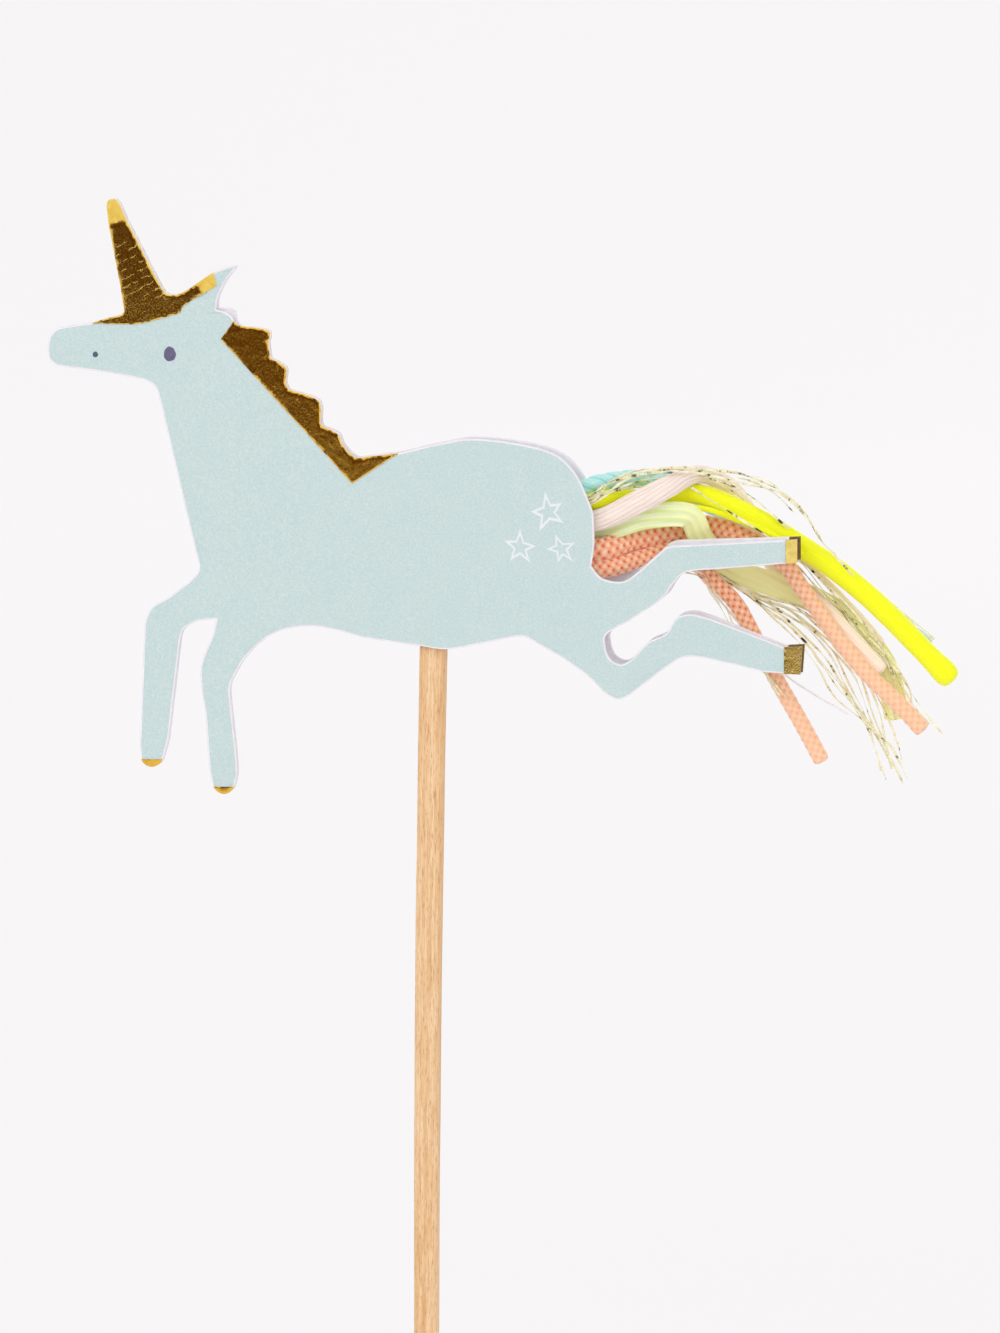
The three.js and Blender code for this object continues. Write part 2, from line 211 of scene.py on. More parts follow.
# Cards, foil and ink, measured off the card's inner face
CARD_THICKNESS = 0.5
CARD_EDGE = 0.16
FOIL_NEAR = 0.54
FOIL_FAR = 0.59
INK_NEAR = 0.502
INK_FAR = 0.52
# Half the gap between the cards, at places along the body
SPREAD = [(-40, 0.15), (-12.5, 0.15), (-2, 1.2), (2, 1.2), (16, 1.85), (52, 1.85)]
BEND_SOFTNESS = 1.5
LEGS_FROM = 19.5
HOOF_FROM = 35.1
# How steeply the tips bend back
HORN_BEND = 0.32
EAR_BEND = 0.4
TOE_BEND = 0.3
UPPER_HOOF_BEND = 0.5
LOWER_HOOF_BEND = 0.12
# The ridge over the stick: its middle, height, reach to each side, top end and fade
RIDGE_MIDDLE = -0.3
RIDGE_HEIGHT = 0.085
RIDGE_REACH = 0.18
RIDGE_TOP = 9.0
RIDGE_FADE = 7.0
# The foil's rim: its width, how far it turns down, and the same for the rim inside the card
RIM_WIDTH = 0.06
RIM_TURN = 0.095
RIM_REACH = 0.16
INNER_RIM_TURN = 0.035
INNER_RIM_REACH = 0.1
# The foil's mesh, and its dents: soft and fine ones, which start a little inside the rim
FOIL_GRID = 0.3
HOOF_GRID = 0.2
SOFT_DENT = 0.007
FINE_DENT = 0.004
DENTS_FROM = 0.3


def add_camera():
    back = Vector((
        math.sin(AZIMUTH) * math.cos(ELEVATION),
        -math.cos(AZIMUTH) * math.cos(ELEVATION),
        math.sin(ELEVATION),
    ))
    right = Vector((math.cos(AZIMUTH), math.sin(AZIMUTH), 0))
    up = back.cross(right)
    roll = Matrix.Rotation(ROLL, 3, back)
    data = bpy.data.cameras.new("camera")
    data.lens = LENS
    data.sensor_width = SENSOR_WIDTH
    data.clip_start = 0.01
    data.clip_end = 20
    camera = bpy.data.objects.new("camera", data)
    turn = Matrix((roll @ right, roll @ up, back)).transposed().to_4x4()
    camera.matrix_world = Matrix.Translation(AIM + DISTANCE * back) @ turn
    bpy.context.scene.collection.objects.link(camera)
    bpy.context.scene.camera = camera


add_camera()


# Materials

def srgb(code):
    values = [int(code[i:i + 2], 16) / 255 for i in (1, 3, 5)]
    linear = [v / 12.92 if v <= 0.04045 else ((v + 0.055) / 1.055) ** 2.4 for v in values]
    return (*linear, 1.0)


def add(tree, kind, sockets=None, **settings):
    """A new node with its settings, and its input sockets set to values or linked."""
    node = tree.nodes.new(kind)
    for key, value in settings.items():
        setattr(node, key, value)
    for key, value in (sockets or {}).items():
        if isinstance(value, bpy.types.NodeSocket):
            tree.links.new(value, node.inputs[key])
        else:
            node.inputs[key].default_value = value
    return node


def ramp(tree, factor, stops):
    """A colour ramp. A stop has its position and its colour, as a code or as red, green, blue."""
    node = add(tree, "ShaderNodeValToRGB", {"Fac": factor})
    elements = node.color_ramp.elements
    while len(elements) < len(stops):
        elements.new(0.5)
    for element, (position, tone) in zip(elements, stops):
        element.position = position
        element.color = srgb(tone) if isinstance(tone, str) else (*tone, 1.0)
    return node.outputs["Color"]


def new_material(name, roughness, **constants):
    material = bpy.data.materials.new(name)
    material.use_nodes = True
    shader = material.node_tree.nodes["Principled BSDF"]
    shader.inputs["Roughness"].default_value = roughness
    for key, value in constants.items():
        shader.inputs[key.replace("_", " ")].default_value = value
    return material, material.node_tree, shader


def colour(tree, shader, socket):
    tree.links.new(socket, shader.inputs["Base Color"])


def bump(tree, shader, height, strength, distance):
    node = add(tree, "ShaderNodeBump", {"Height": height, "Strength": strength, "Distance": distance})
    tree.links.new(node.outputs["Normal"], shader.inputs["Normal"])


def mix(tree, factor, first, second, blend="MIX"):
    sockets = {0: factor, 6: first, 7: second}
    return add(tree, "ShaderNodeMix", sockets, data_type="RGBA", blend_type=blend).outputs[2]


def chain(tree, operation, first, *others):
    """Joins values by one operation, one after the other."""
    for value in others:
        first = add(tree, "ShaderNodeMath", {0: first, 1: value}, operation=operation).outputs[0]
    return first


def product(tree, *factors):
    return chain(tree, "MULTIPLY", *factors)


def total(tree, *terms):
    return chain(tree, "ADD", *terms)


def above(tree, value, low, high, nought=0.0, one=1.0):
    """Goes from nought to one as the value goes from low to high."""
    span = add(tree, "ShaderNodeMapRange", {
        "Value": value, "From Min": low, "From Max": high, "To Min": nought, "To Max": one})
    return span.outputs["Result"]


def place_mask(tree, axis, nought, one):
    """Rises from nought to one between two places in the frame along an axis."""
    coordinates = add(tree, "ShaderNodeTexCoord").outputs["Object"]
    place = add(tree, "ShaderNodeSeparateXYZ", {"Vector": coordinates}).outputs[axis]
    return above(tree, place, nought, one)


def object_place(tree, stretch=(1, 1, 1), turn=0):
    """Object coordinates, stretched and then turned by degrees about the line through the cards."""
    coordinates = add(tree, "ShaderNodeTexCoord").outputs["Object"]
    mapped = add(tree, "ShaderNodeMapping", {
        "Vector": coordinates, "Rotation": (0, math.radians(turn), 0), "Scale": stretch})
    return mapped.outputs["Vector"]


def noise_at(tree, place, scale, detail, roughness):
    texture = add(tree, "ShaderNodeTexNoise", {
        "Vector": place, "Scale": scale, "Detail": detail, "Roughness": roughness})
    return texture.outputs["Fac"]


def object_noise(tree, scale, stretch=(1, 1, 1), detail=4, roughness=0.55):
    return noise_at(tree, object_place(tree, stretch), scale, detail, roughness)


def along_noise(tree, stretch):
    """Noise on a strand's own map: millimetres along it and round it."""
    along = add(tree, "ShaderNodeUVMap", uv_map="along").outputs["UV"]
    mapped = add(tree, "ShaderNodeMapping", {"Vector": along, "Scale": stretch})
    return noise_at(tree, mapped.outputs["Vector"], 1.0, 3, 0.6)


def crease_lines(tree):
    """Broken wavy lines that climb slowly across the horn."""
    bands = add(tree, "ShaderNodeTexWave", {
        "Vector": object_place(tree, turn=28), "Scale": 400.0, "Distortion": 4.2, "Detail": 5.0,
        "Detail Scale": 3.4, "Detail Roughness": 0.8}, bands_direction="Z")
    line = above(tree, bands.outputs["Fac"], 0.993, 1.0)
    broken = above(tree, object_noise(tree, 1300, detail=3), 0.48, 0.54)
    return product(tree, line, broken)


def hatching(tree):
    """A net of fine scratches where the horn meets the brow."""
    cells = add(tree, "ShaderNodeTexVoronoi", {
        "Vector": object_place(tree, (1.6, 1, 0.5), 20), "Scale": 3600.0}, feature="DISTANCE_TO_EDGE")
    return above(tree, cells.outputs["Distance"], 0.08, 0.0)


def printed_card():
    material, tree, shader = new_material("printed_card", 0.85, Specular_IOR_Level=0.25)
    fibre = object_noise(tree, 5200, detail=6, roughness=0.75)
    cloud = object_noise(tree, 260, detail=3)
    pale = ramp(tree, fibre, [(0.34, "#bfd2d2"), (0.5, "#c9d9d8"), (0.66, "#d6e3e0")])
    tint = ramp(tree, cloud, [(0.35, "#fbfdfb"), (0.65, "#fbfcfd")])
    colour(tree, shader, mix(tree, 1.0, pale, tint, "MULTIPLY"))
    bump(tree, shader, fibre, 0.25, 0.00002)
    return material


def bare_card(name, dark, middle, light):
    material, tree, shader = new_material(name, 0.9, Specular_IOR_Level=0.2)
    layers = object_noise(tree, 900, stretch=(1, 9, 1), detail=5, roughness=0.7)
    colour(tree, shader, ramp(tree, layers, [(0.3, dark), (0.55, middle), (0.8, light)]))
    bump(tree, shader, layers, 0.3, 0.00002)
    return material


def gold_foil(name, dark, middle, light, spread=0.2, creased=False):
    """Polished foil with fine grain, rubbed here and there. The horn's is creased as well."""
    material, tree, shader = new_material(name, 0.12, Metallic=1.0)
    patches = object_noise(tree, 1500, detail=5, roughness=0.7)
    stops = [(0.5 - spread, dark), (0.5, middle), (0.5 + spread, light)]
    colour(tree, shader, ramp(tree, patches, stops))
    worn = above(tree, object_noise(tree, 5200, detail=3), 0.3, 0.7, 0.07, 0.2)
    tree.links.new(worn, shader.inputs["Roughness"])
    grain = object_noise(tree, 4200, stretch=(1, 1, 0.6), detail=4, roughness=0.75)
    rubbed = above(tree, object_noise(tree, 520, detail=2), 0.64, 0.76)
    height = total(tree, grain, product(tree, grain, rubbed, 1.6))
    if creased:
        low_down = place_mask(tree, "Z", 0.1115, 0.109)
        before_ear = place_mask(tree, "X", -0.0247, -0.0262)
        base = product(tree, low_down, before_ear, hatching(tree), 0.22)
        under_tip = place_mask(tree, "Z", 0.1148, 0.114)
        over_base = place_mask(tree, "Z", 0.109, 0.1098)
        middle = product(tree, under_tip, over_base, crease_lines(tree), 1.1)
        height = total(tree, height, base, middle)
    bump(tree, shader, height, 0.35, 0.00004)
    return material


def pick_wood():
    material, tree, shader = new_material("pick_wood", 0.62, Specular_IOR_Level=0.3)
    grain = object_noise(tree, 5600, stretch=(1, 1, 0.045), detail=5, roughness=0.7)
    bands = object_noise(tree, 1300, stretch=(1, 1, 0.02), detail=3)
    flecks = object_noise(tree, 8200, stretch=(1, 1, 0.14), detail=3, roughness=0.6)
    streaks = ramp(tree, grain, [(0.3, "#dcae7b"), (0.45, "#e9c498"), (0.6, "#f3d5ae"), (0.75, "#fbe8c8")])
    warm = ramp(tree, bands, [(0.35, "#f6e8d6"), (0.6, "#fffaf4")])
    spots = ramp(tree, flecks, [(0.3, "#b98a5a"), (0.42, "#f2e6d8"), (0.5, "#ffffff")])
    base = mix(tree, 1.0, streaks, warm, "MULTIPLY")
    colour(tree, shader, mix(tree, 0.55, base, spots, "MULTIPLY"))
    bump(tree, shader, grain, 0.35, 0.00004)
    return material


def ink(name, dark, light):
    material, tree, shader = new_material(name, 0.8, Specular_IOR_Level=0.2)
    patches = object_noise(tree, 4200, detail=5, roughness=0.7)
    colour(tree, shader, ramp(tree, patches, [(0.35, dark), (0.7, light)]))
    return material


def yarn(name, dark, middle, light, stretch, roughness=0.8, sheen=0.0, relief=None, far=None):
    """A strand's material. relief darkens its hollows by the built height: painted shade between plies, pleats and
    stitches. far tints its end: from a distance along it, fully past a second one, with a colour and, if given, a
    share of it."""
    material, tree, shader = new_material(
        name, roughness, Specular_IOR_Level=0.3, Sheen_Weight=sheen, Sheen_Roughness=0.5)
    fibres = along_noise(tree, stretch)
    base = ramp(tree, fibres, [(0.3, dark), (0.5, middle), (0.7, light)])
    if relief:
        height = add(tree, "ShaderNodeAttribute", attribute_name="relief").outputs["Fac"]
        base = mix(tree, 1.0, base, ramp(tree, height, relief), "MULTIPLY")
    if far:
        along = add(tree, "ShaderNodeUVMap", uv_map="along").outputs["UV"]
        distance = add(tree, "ShaderNodeSeparateXYZ", {"Vector": along}).outputs["X"]
        share = product(tree, above(tree, distance, far[0], far[1]), *far[3:])
        base = mix(tree, share, base, srgb(far[2]))
    colour(tree, shader, base)
    bump(tree, shader, fibres, 0.5, 0.00005)
    return material


def film(name, dark):
    """Pale film with dark dashes where the noise along it falls below the level called dark. The dashes are painted
    dark reflections on the twisting tinsel.
    """
    material, tree, shader = new_material(name, 0.25, Metallic=0.15)
    patches = along_noise(tree, (0.85, 0.3, 1))
    colour(tree, shader, ramp(tree, patches, [
        (dark, "#3a3424"), (dark + 0.035, "#9a9064"), (dark + 0.08, "#ebe2b4"), (0.6, "#fbf6da"),
        (0.75, "#fffff0")]))
    bump(tree, shader, patches, 0.3, 0.00005)
    return material


def plain(name, roughness, dark, light, scale, **constants):
    material, tree, shader = new_material(name, roughness, **constants)
    patches = object_noise(tree, scale, detail=4)
    colour(tree, shader, ramp(tree, patches, [(0.35, dark), (0.65, light)]))
    bump(tree, shader, patches, 0.2, 0.00003)
    return material


PRINT = printed_card()
CORE = bare_card("card_core", "#e6e1e6", "#f0ecf0", "#f8f6f8")
# The unprinted inner faces, darker than the cut edges: painted shade between the cards.
INSIDE_SHADE = bare_card("card_inside", "#dcd9df", "#e7e4e9", "#f1eef2")
HORN_FOIL = gold_foil("horn_foil", "#dfb04a", "#ebc45a", "#f2d376", creased=True)
FOIL = gold_foil("gold_foil", "#e0aa40", "#eebd4c", "#f4cc66")
# A paler copy of the gold foil for the hind hoofs: painted light, for their brighter reflection.
HOOF_FOIL_PAINTED_LIGHT = gold_foil("hoof_foil", "#e2be5a", "#eccf76", "#f4de92")
# A paler copy of the gold foil for the eased rims: painted highlight.
FOIL_RIM_HIGHLIGHT = gold_foil("foil_rim", "#f3d690", "#f9e6b6", "#fdf3d8", spread=0.15)
# Dark brown for the hind hoofs' cut edges and inner faces: painted shade and painted dark reflection.
FOIL_END_PAINTED_DARK = plain("foil_end", 0.35, "#4a3410", "#7d5c24", 4200)
WOOD = pick_wood()
# Tinsel with painted dark reflections in dashes along it; the level sets how many.
ARC_FILM = film("arc_film", 0.36)
FAN_FILM = film("fan_film", 0.325)
EYE_INK = ink("eye_ink", "#5f5c74", "#7b7190")
NOSTRIL_INK = ink("nostril_ink", "#47606b", "#566f78")
STAR_INK = ink("star_ink", "#dfe6ea", "#efeef2")
GLUE = plain("clear_glue", 0.25, "#e2d6bd", "#f1e9d8", 1500, Coat_Weight=0.4)
TAPE = plain("paper_tape", 0.5, "#e9e6df", "#f6f4ef", 2500)
THREAD = yarn("binding_thread", "#d8d0c2", "#eae4d9", "#f8f5ee", (2.0, 9.0, 1))
# The relief ramps of these strands darken their hollows: painted shade.
TURQUOISE = yarn("turquoise_yarn", "#9cdedd", "#bdeeea", "#dcf9f4", (2.2, 9.0, 1), 0.8, 0.3,
                 [(0.0, "#c8e8e8"), (0.45, "#f8fffe"), (1.0, "#ffffff")], (36.0, 42.0, "#cfe4e2"))
YELLOW = yarn("yellow_satin", "#f2f800", "#fafd00", "#ffff20", (0.35, 7.0, 1), 0.55, 0.3)
# Its far tint lightens the part that lies in the yellow cord's shadow: painted light.
PINK = yarn("pink_floss", "#f0dbcf", "#f8e9df", "#fff7f0", (0.4, 9.0, 1), 0.6, 0.5,
            [(0.0, "#efdfd7"), (0.5, "#fffbf8"), (1.0, "#ffffff")], (20.0, 25.0, "#ffecda"))
PINK_THREAD = yarn("pink_thread", "#eceaec", "#f6f4f6", "#ffffff", (0.4, 9.0, 1), 0.6, 0.5)
# Its far tint lightens the part that lies in the upper leg's shadow: painted light.
GREEN = yarn("green_satin", "#e6f2ae", "#f2fbc8", "#fbffe0", (0.25, 6.0, 1), 0.4, 0.4,
             [(0.0, "#eef2cc"), (0.5, "#fdfff6"), (1.0, "#ffffff")], (17.0, 21.0, "#ffffb8"))
CORAL = yarn("coral_knit", "#ffcdaa", "#ffdec2", "#fff0de", (3.0, 5.0, 1), 0.6, 0.5,
             [(0.0, "#bd6238"), (0.3, "#ec9472"), (0.6, "#ffc9b2"), (0.82, "#fff4ea"), (1.0, "#ffffff")],
             (27.0, 38.0, "#ffcfa8", 0.72))


# Smooth lines

CURVE_STEPS = 8
LINE_PIECES = 400


def smooth_line(points):
    """Points of a smooth curve that passes through the given ones."""
    ends = [points[0], *points, points[-1]]
    line = []
    for before, start, end, after in zip(ends, ends[1:], ends[2:], ends[3:]):
        leave = (end - before) / 2
        arrive = (after - start) / 2
        for step in range(CURVE_STEPS):
            t = step / CURVE_STEPS
            cubic = (2 * start - 2 * end + leave + arrive) * t ** 3
            square = (3 * end - 3 * start - 2 * leave - arrive) * t ** 2
            line.append(cubic + square + leave * t + start)
    line.append(points[-1].copy())
    return line


def even_points(line, count):
    """count + 1 points along a line, at equal distances."""
    lengths = [0.0]
    for a, b in zip(line, line[1:]):
        lengths.append(lengths[-1] + (b - a).length)
    points, i = [], 0
    for k in range(count + 1):
        target = lengths[-1] * k / count
        while i < len(line) - 2 and lengths[i + 1] < target:
            i += 1
        share = (target - lengths[i]) / max(lengths[i + 1] - lengths[i], 1e-9)
        points.append(line[i].lerp(line[i + 1], share))
    return points, lengths[-1]


def outline(start, stretches):
    """A closed outline of straight and curved stretches, in millimetres."""
    line = [Vector(start)]
    for kind, *points in stretches:
        points = [Vector(p) for p in points]
        line += smooth_line([line[-1], *points])[1:] if kind == "curve" else points
    if (line[-1] - line[0]).length < 1e-6:
        line.pop()
    return line


def finish_piece(name, bm, materials, place, sharp=35):
    bmesh.ops.transform(bm, matrix=place, verts=bm.verts)
    bmesh.ops.recalc_face_normals(bm, faces=bm.faces)
    for face in bm.faces:
        face.smooth = True
    mesh = bpy.data.meshes.new(name)
    bm.to_mesh(mesh)
    bm.free()
    mesh.set_sharp_from_angle(angle=math.radians(sharp))
    for material in materials:
        mesh.materials.append(material)
    piece = bpy.data.objects.new(name, mesh)
    bpy.context.scene.collection.objects.link(piece)
    return piece


def settle(piece, node, slot):
    """A piece that stays with the cards, in place of the solid that is named."""
    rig.ride(piece, "body")
    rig.replaces(piece, node)
    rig.slot(piece, slot)


# Strands: the tail, the thread and the stick

def strand(name, route, section, step, around, material, place=CARD_PLACE, sharp=60, shift=0.0):
    """A closed tube along a smooth line. section gives, for a distance along it, its length and an
    angle round it, how far its surface stands across and through the cards, and the height for
    its material. It has faces of the given step along it and their number around it. shift moves
    the piece's own map. Returns the piece and its centre line in the shared frame."""
    line, length = even_points(smooth_line([Vector(p) for p in route]), LINE_PIECES)
    count = max(12, round(length / step))
    centre, length = even_points(line, count)
    frames = []
    for i, point in enumerate(centre):
        tangent = (centre[min(i + 1, count)] - centre[max(i - 1, 0)]).normalized()
        across = Vector((0, 1, 0)).cross(tangent).normalized()
        frames.append((point, across, tangent.cross(across)))
    bm = bmesh.new()
    uv = bm.loops.layers.uv.new("along")
    relief = bm.verts.layers.float.new("relief")
    bmesh.ops.create_grid(bm, x_segments=count, y_segments=around, size=0.5, calc_uvs=True)
    low = min(v.co.x for v in bm.verts)
    high = max(v.co.x for v in bm.verts)
    girth = 0.0
    for vert in bm.verts:
        i = round((vert.co.x - low) / (high - low) * count)
        share = (vert.co.y - low) / (high - low)
        point, across, through = frames[i]
        a, b, vert[relief] = section(length * i / count, length, share * math.tau)
        girth = max(girth, math.tau * math.hypot(a, b))
        vert.co = point + a * across + b * through
    for face in bm.faces:
        for loop in face.loops:
            loop[uv].uv = (loop[uv].uv.x * length, loop[uv].uv.y * girth + shift)
    bmesh.ops.remove_doubles(bm, verts=bm.verts, dist=1e-5)
    rims = [edge for edge in bm.edges if edge.is_boundary]
    bmesh.ops.holes_fill(bm, edges=rims, sides=0)
    piece = finish_piece(name, bm, [material], place, sharp)
    return piece, [place @ point for point in centre]


def tucked(section, ease):
    """The section, pressed thin at its root between the cards. The edge of its far end is eased
    over the given length."""
    def pressed(s, length, angle):
        size = ROOT_SIZE + (1 - ROOT_SIZE) * between(s, 0.0, ROOT_LENGTH)
        left = min((length - s) / ease, 1.0)
        size *= 0.35 + 0.65 * math.sqrt(max(0.0, 1 - (1 - left) ** 2))
        a, b, height = section(s, length, angle)
        return a * size, b * size, height
    return pressed


def clamp(value, low=0.0, high=1.0):
    return max(low, min(high, value))


def between(s, start, end):
    """From nought at the start to one at the end, with an eased slope."""
    t = clamp((s - start) / (end - start))
    return t * t * (3 - 2 * t)


def ripple(x, y=0.0, z=0.0):
    return noise.noise(Vector((x, y, z)))


def fray(s, angle, pace, girth=2):
    """Soft unevenness along and round a strand."""
    return ripple(s * pace, math.cos(angle) * girth, math.sin(angle) * girth)


def widened(s, share, rise, fall):
    """How much wider a strand is, from the first slope along it to the second."""
    return 1 + share * between(s, *rise) * (1 - between(s, *fall))


def knit(radius, flat=0.0, until=16.0):
    """A knitted tube with staggered rows of small holes, pressed wide where it leaves the cards."""
    stitch, rows = 0.85, 5

    def section(s, length, angle):
        wide = widened(s, flat, (6, 10), (until, until + 8))
        across = math.cos(rows * angle)
        along = math.cos(math.tau * (s / stitch + 0.08 * math.cos(2 * rows * angle)))
        hollow = max(0.0, -across * along) ** 2.6
        stitches = max(0.0, across * along) ** 1.4
        wear = 0.12 * fray(s, angle, 1.9, 3)
        height = clamp(0.62 - 0.62 * hollow + 0.34 * stitches + wear)
        r = radius * (0.84 + 0.17 * height)
        return wide * r * math.cos(angle), r * math.sin(angle), height
    return section


def plied(radius, pitch, spread):
    """Three plies laid round each other."""
    plies = 3

    def section(s, length, angle):
        wide = widened(s, spread, (5, 9), (17, 23))
        turned = angle - math.tau * s / pitch
        lobe = abs(math.cos(plies * turned / 2))
        r = radius * (0.83 + 0.17 * lobe + 0.05 * fray(s, angle, 1.7))
        return wide * r * math.cos(angle), r * math.sin(angle), lobe
    return section


def bundled(radius, strands, pitch, flat, spread=0.0):
    """Loose threads side by side, with a slow twist."""
    def section(s, length, angle):
        wide = widened(s, spread, (6, 10), (15, 22))
        turned = angle + math.tau * s / pitch
        lobe = abs(math.cos(strands * turned / 2))
        r = radius * (0.89 + 0.11 * lobe + 0.06 * fray(s, angle, 0.8))
        return wide * r * math.cos(angle), flat * r * math.sin(angle), lobe
    return section


def satin(radius):
    """A smooth cord with fine threads along it, fuller towards its end."""
    def section(s, length, angle):
        soft = 0.04 * fray(s, angle, 0.35, 1)
        thread = 0.008 * math.cos(26 * angle + 0.5 * s)
        swell = 0.08 * between(s, 24, 34) + 0.12 * between(s, length - 3.5, length - 1.2)
        r = radius * (0.97 + soft + thread + swell)
        return r * math.cos(angle), 0.92 * r * math.sin(angle), 0.5
    return section


def pleated(width, thickness):
    """A ribbon with soft pleats along it."""
    def section(s, length, angle):
        a = width / 2 * math.cos(angle)
        wander = 0.8 * ripple(s * 0.16, 3.1)
        pleat = math.cos(math.tau * (a / width * 3.2 + wander))
        b = thickness / 2 * math.sin(angle) + 0.07 * pleat
        return a, b, 0.5 + 0.5 * pleat
    return section


def ribbon_film(width, seed):
    """A flat film that turns over and over along its length."""
    def section(s, length, angle):
        turn = 0.45 * s + 2.6 * ripple(s * 0.22, seed * 3.7) + seed
        a = width / 2 * math.cos(angle)
        b = 0.035 * math.sin(angle)
        return (a * math.cos(turn) - b * math.sin(turn), a * math.sin(turn) + b * math.cos(turn), 0.5)
    return section


# Each cord's node, declared diameter, section, material, step along, faces round and slot, and
# where it lies: from the binding thread between the cards, out at the rump
NECK_X = 6.6
ROOT_LENGTH = 10.5
ROOT_SIZE = 0.3
CORDS = [
    ("turquoise_yarn", 1.8, plied(0.88, 5.5, 0.05), TURQUOISE, 0.16, 36, "turquoise_yarn", [
        (NECK_X, 0.2, 13.7), (11.0, 0.3, 14.9),
        (15.0, 0.4, 16.1), (17.0, 1.7, 16.5), (19.5, 3.6, 16.7), (22.5, 5.6, 16.3), (25.0, 7.7, 14.8),
        (27.5, 9.0, 13.0), (31.6, 9.4, 11.4), (35.6, 9.4, 9.3), (39.4, 9.4, 6.9), (42.9, 9.4, 4.0),
        (45.5, 9.4, 1.9), (48.2, 9.4, -0.3)]),
    ("yellow_cord", 2.1, satin(1.05), YELLOW, 0.15, 52, "yellow_cord", [
        (NECK_X, 0.1, 13.2), (11.0, 0.2, 14.0),
        (15.9, 0.4, 14.7), (18.2, 2.1, 14.8), (21.3, 3.2, 14.6), (24.5, 3.6, 15.3), (27.2, 3.5, 14.9),
        (30.0, 3.5, 13.7), (32.6, 3.8, 12.3), (35.4, 4.0, 10.5), (39.1, 4.0, 8.1), (43.2, 4.0, 4.8),
        (47.0, 4.0, 1.1), (51.1, 4.0, -3.1)]),
    ("pink_floss", 1.6, bundled(0.9, 13, 60.0, 0.7, 0.15), PINK, 0.25, 78, "pink_floss", [
        (NECK_X, -0.2, 12.5), (11.0, -0.4, 12.5),
        (16.0, -0.6, 12.8), (19.8, 0.0, 14.3), (23.1, 0.9, 16.0), (25.1, 2.5, 17.1), (26.8, 4.8, 16.9),
        (29.0, 6.7, 15.3), (31.2, 7.3, 11.6), (32.5, 7.2, 8.6), (35.2, 6.4, 6.2), (38.4, 5.3, 3.6),
        (41.1, 5.1, 0.7), (43.2, 5.1, -1.6), (43.9, 5.1, -2.5)]),
    ("green_ribbon", 1.8, pleated(2.5, 0.22), GREEN, 0.25, 56, "green_ribbon", [
        (NECK_X, 0.3, 12.0), (11.0, 0.5, 12.0),
        (16.0, 0.95, 11.8), (18.3, 0.75, 12.4), (20.7, 1.1, 13.1), (23.8, 1.5, 13.4), (25.4, 2.0, 12.9),
        (26.1, 3.3, 10.9), (27.8, 5.2, 8.6), (30.2, 5.8, 7.0), (33.2, 5.8, 6.1), (36.5, 5.8, 4.9),
        (39.8, 5.8, 3.2), (42.4, 5.8, 0.6), (44.4, 5.8, -2.4), (45.4, 5.8, -7.2)]),
    ("coral_cord_upper", 1.6, knit(0.88, 0.42, 20.0), CORAL, 0.09, 48, "coral_cord", [
        (NECK_X, 0.0, 11.4), (11.0, 0.0, 10.6),
        (16.1, 0.1, 9.9), (19.4, 2.5, 10.8), (23.9, 4.6, 11.6), (26.8, 5.0, 11.8), (30.1, 4.6, 11.0),
        (34.1, 4.1, 8.6), (35.9, 4.1, 6.2), (37.8, 4.1, 3.6), (39.9, 4.1, 0.7), (42.9, 4.1, -2.8),
        (45.8, 4.1, -5.5), (48.2, 4.1, -8.1)]),
    ("coral_cord_lower", 1.6, knit(0.84, 0.15), CORAL, 0.09, 42, "coral_cord", [
        (NECK_X, 0.0, 10.8), (11.0, 0.0, 9.4),
        (16.0, 0.0, 8.0), (20.1, 2.4, 8.8), (22.8, 3.9, 9.5), (25.2, 4.1, 8.8), (26.9, 4.1, 7.0),
        (29.4, 4.0, 4.5), (31.1, 4.0, 1.6), (33.4, 3.9, -2.8), (35.9, 3.8, -7.1), (38.2, 3.8, -11.3)]),
    ("yellow_cord", 0.6, satin(0.3), YELLOW, 0.3, 16, "yellow_cord", [
        (NECK_X, 0.1, 12.9), (11.0, 0.2, 13.3),
        (16.0, 0.9, 13.7), (19.0, 2.2, 13.4), (21.0, 2.1, 13.6), (24.0, 2.3, 14.0), (26.7, 2.8, 13.8),
        (29.4, 2.8, 12.9), (32.4, 2.9, 11.7), (36.4, 3.2, 9.4)]),
    ("pink_floss", 0.6, bundled(0.3, 5, 30.0, 0.9), PINK, 0.25, 20, "pink_floss", [
        (NECK_X, -0.3, 12.7), (11.0, -0.5, 13.0),
        (16.0, -0.7, 13.6), (19.8, 0.1, 15.4), (23.1, 1.2, 17.0), (25.4, 3.0, 17.5), (27.4, 5.2, 16.6),
        (29.6, 6.4, 14.3), (32.2, 6.3, 11.7), (35.6, 6.0, 8.9), (39.0, 5.6, 5.9), (41.9, 5.6, 2.9),
        (44.0, 5.6, 0.4)]),
    ("pink_floss", 0.3, bundled(0.115, 3, 9.0, 1.0), PINK_THREAD, 0.3, 8, "pink_floss", [
        (NECK_X, 0.0, 11.5), (11.0, 0.2, 10.2),
        (16.2, 1.4, 9.0), (19.0, 3.5, 9.4), (22.0, 5.2, 9.4), (25.0, 5.1, 7.6), (28.0, 5.0, 4.3),
        (31.0, 4.9, 0.8), (33.8, 4.7, -2.2), (36.2, 4.6, -4.0), (40.7, 4.6, -6.6)]),
]

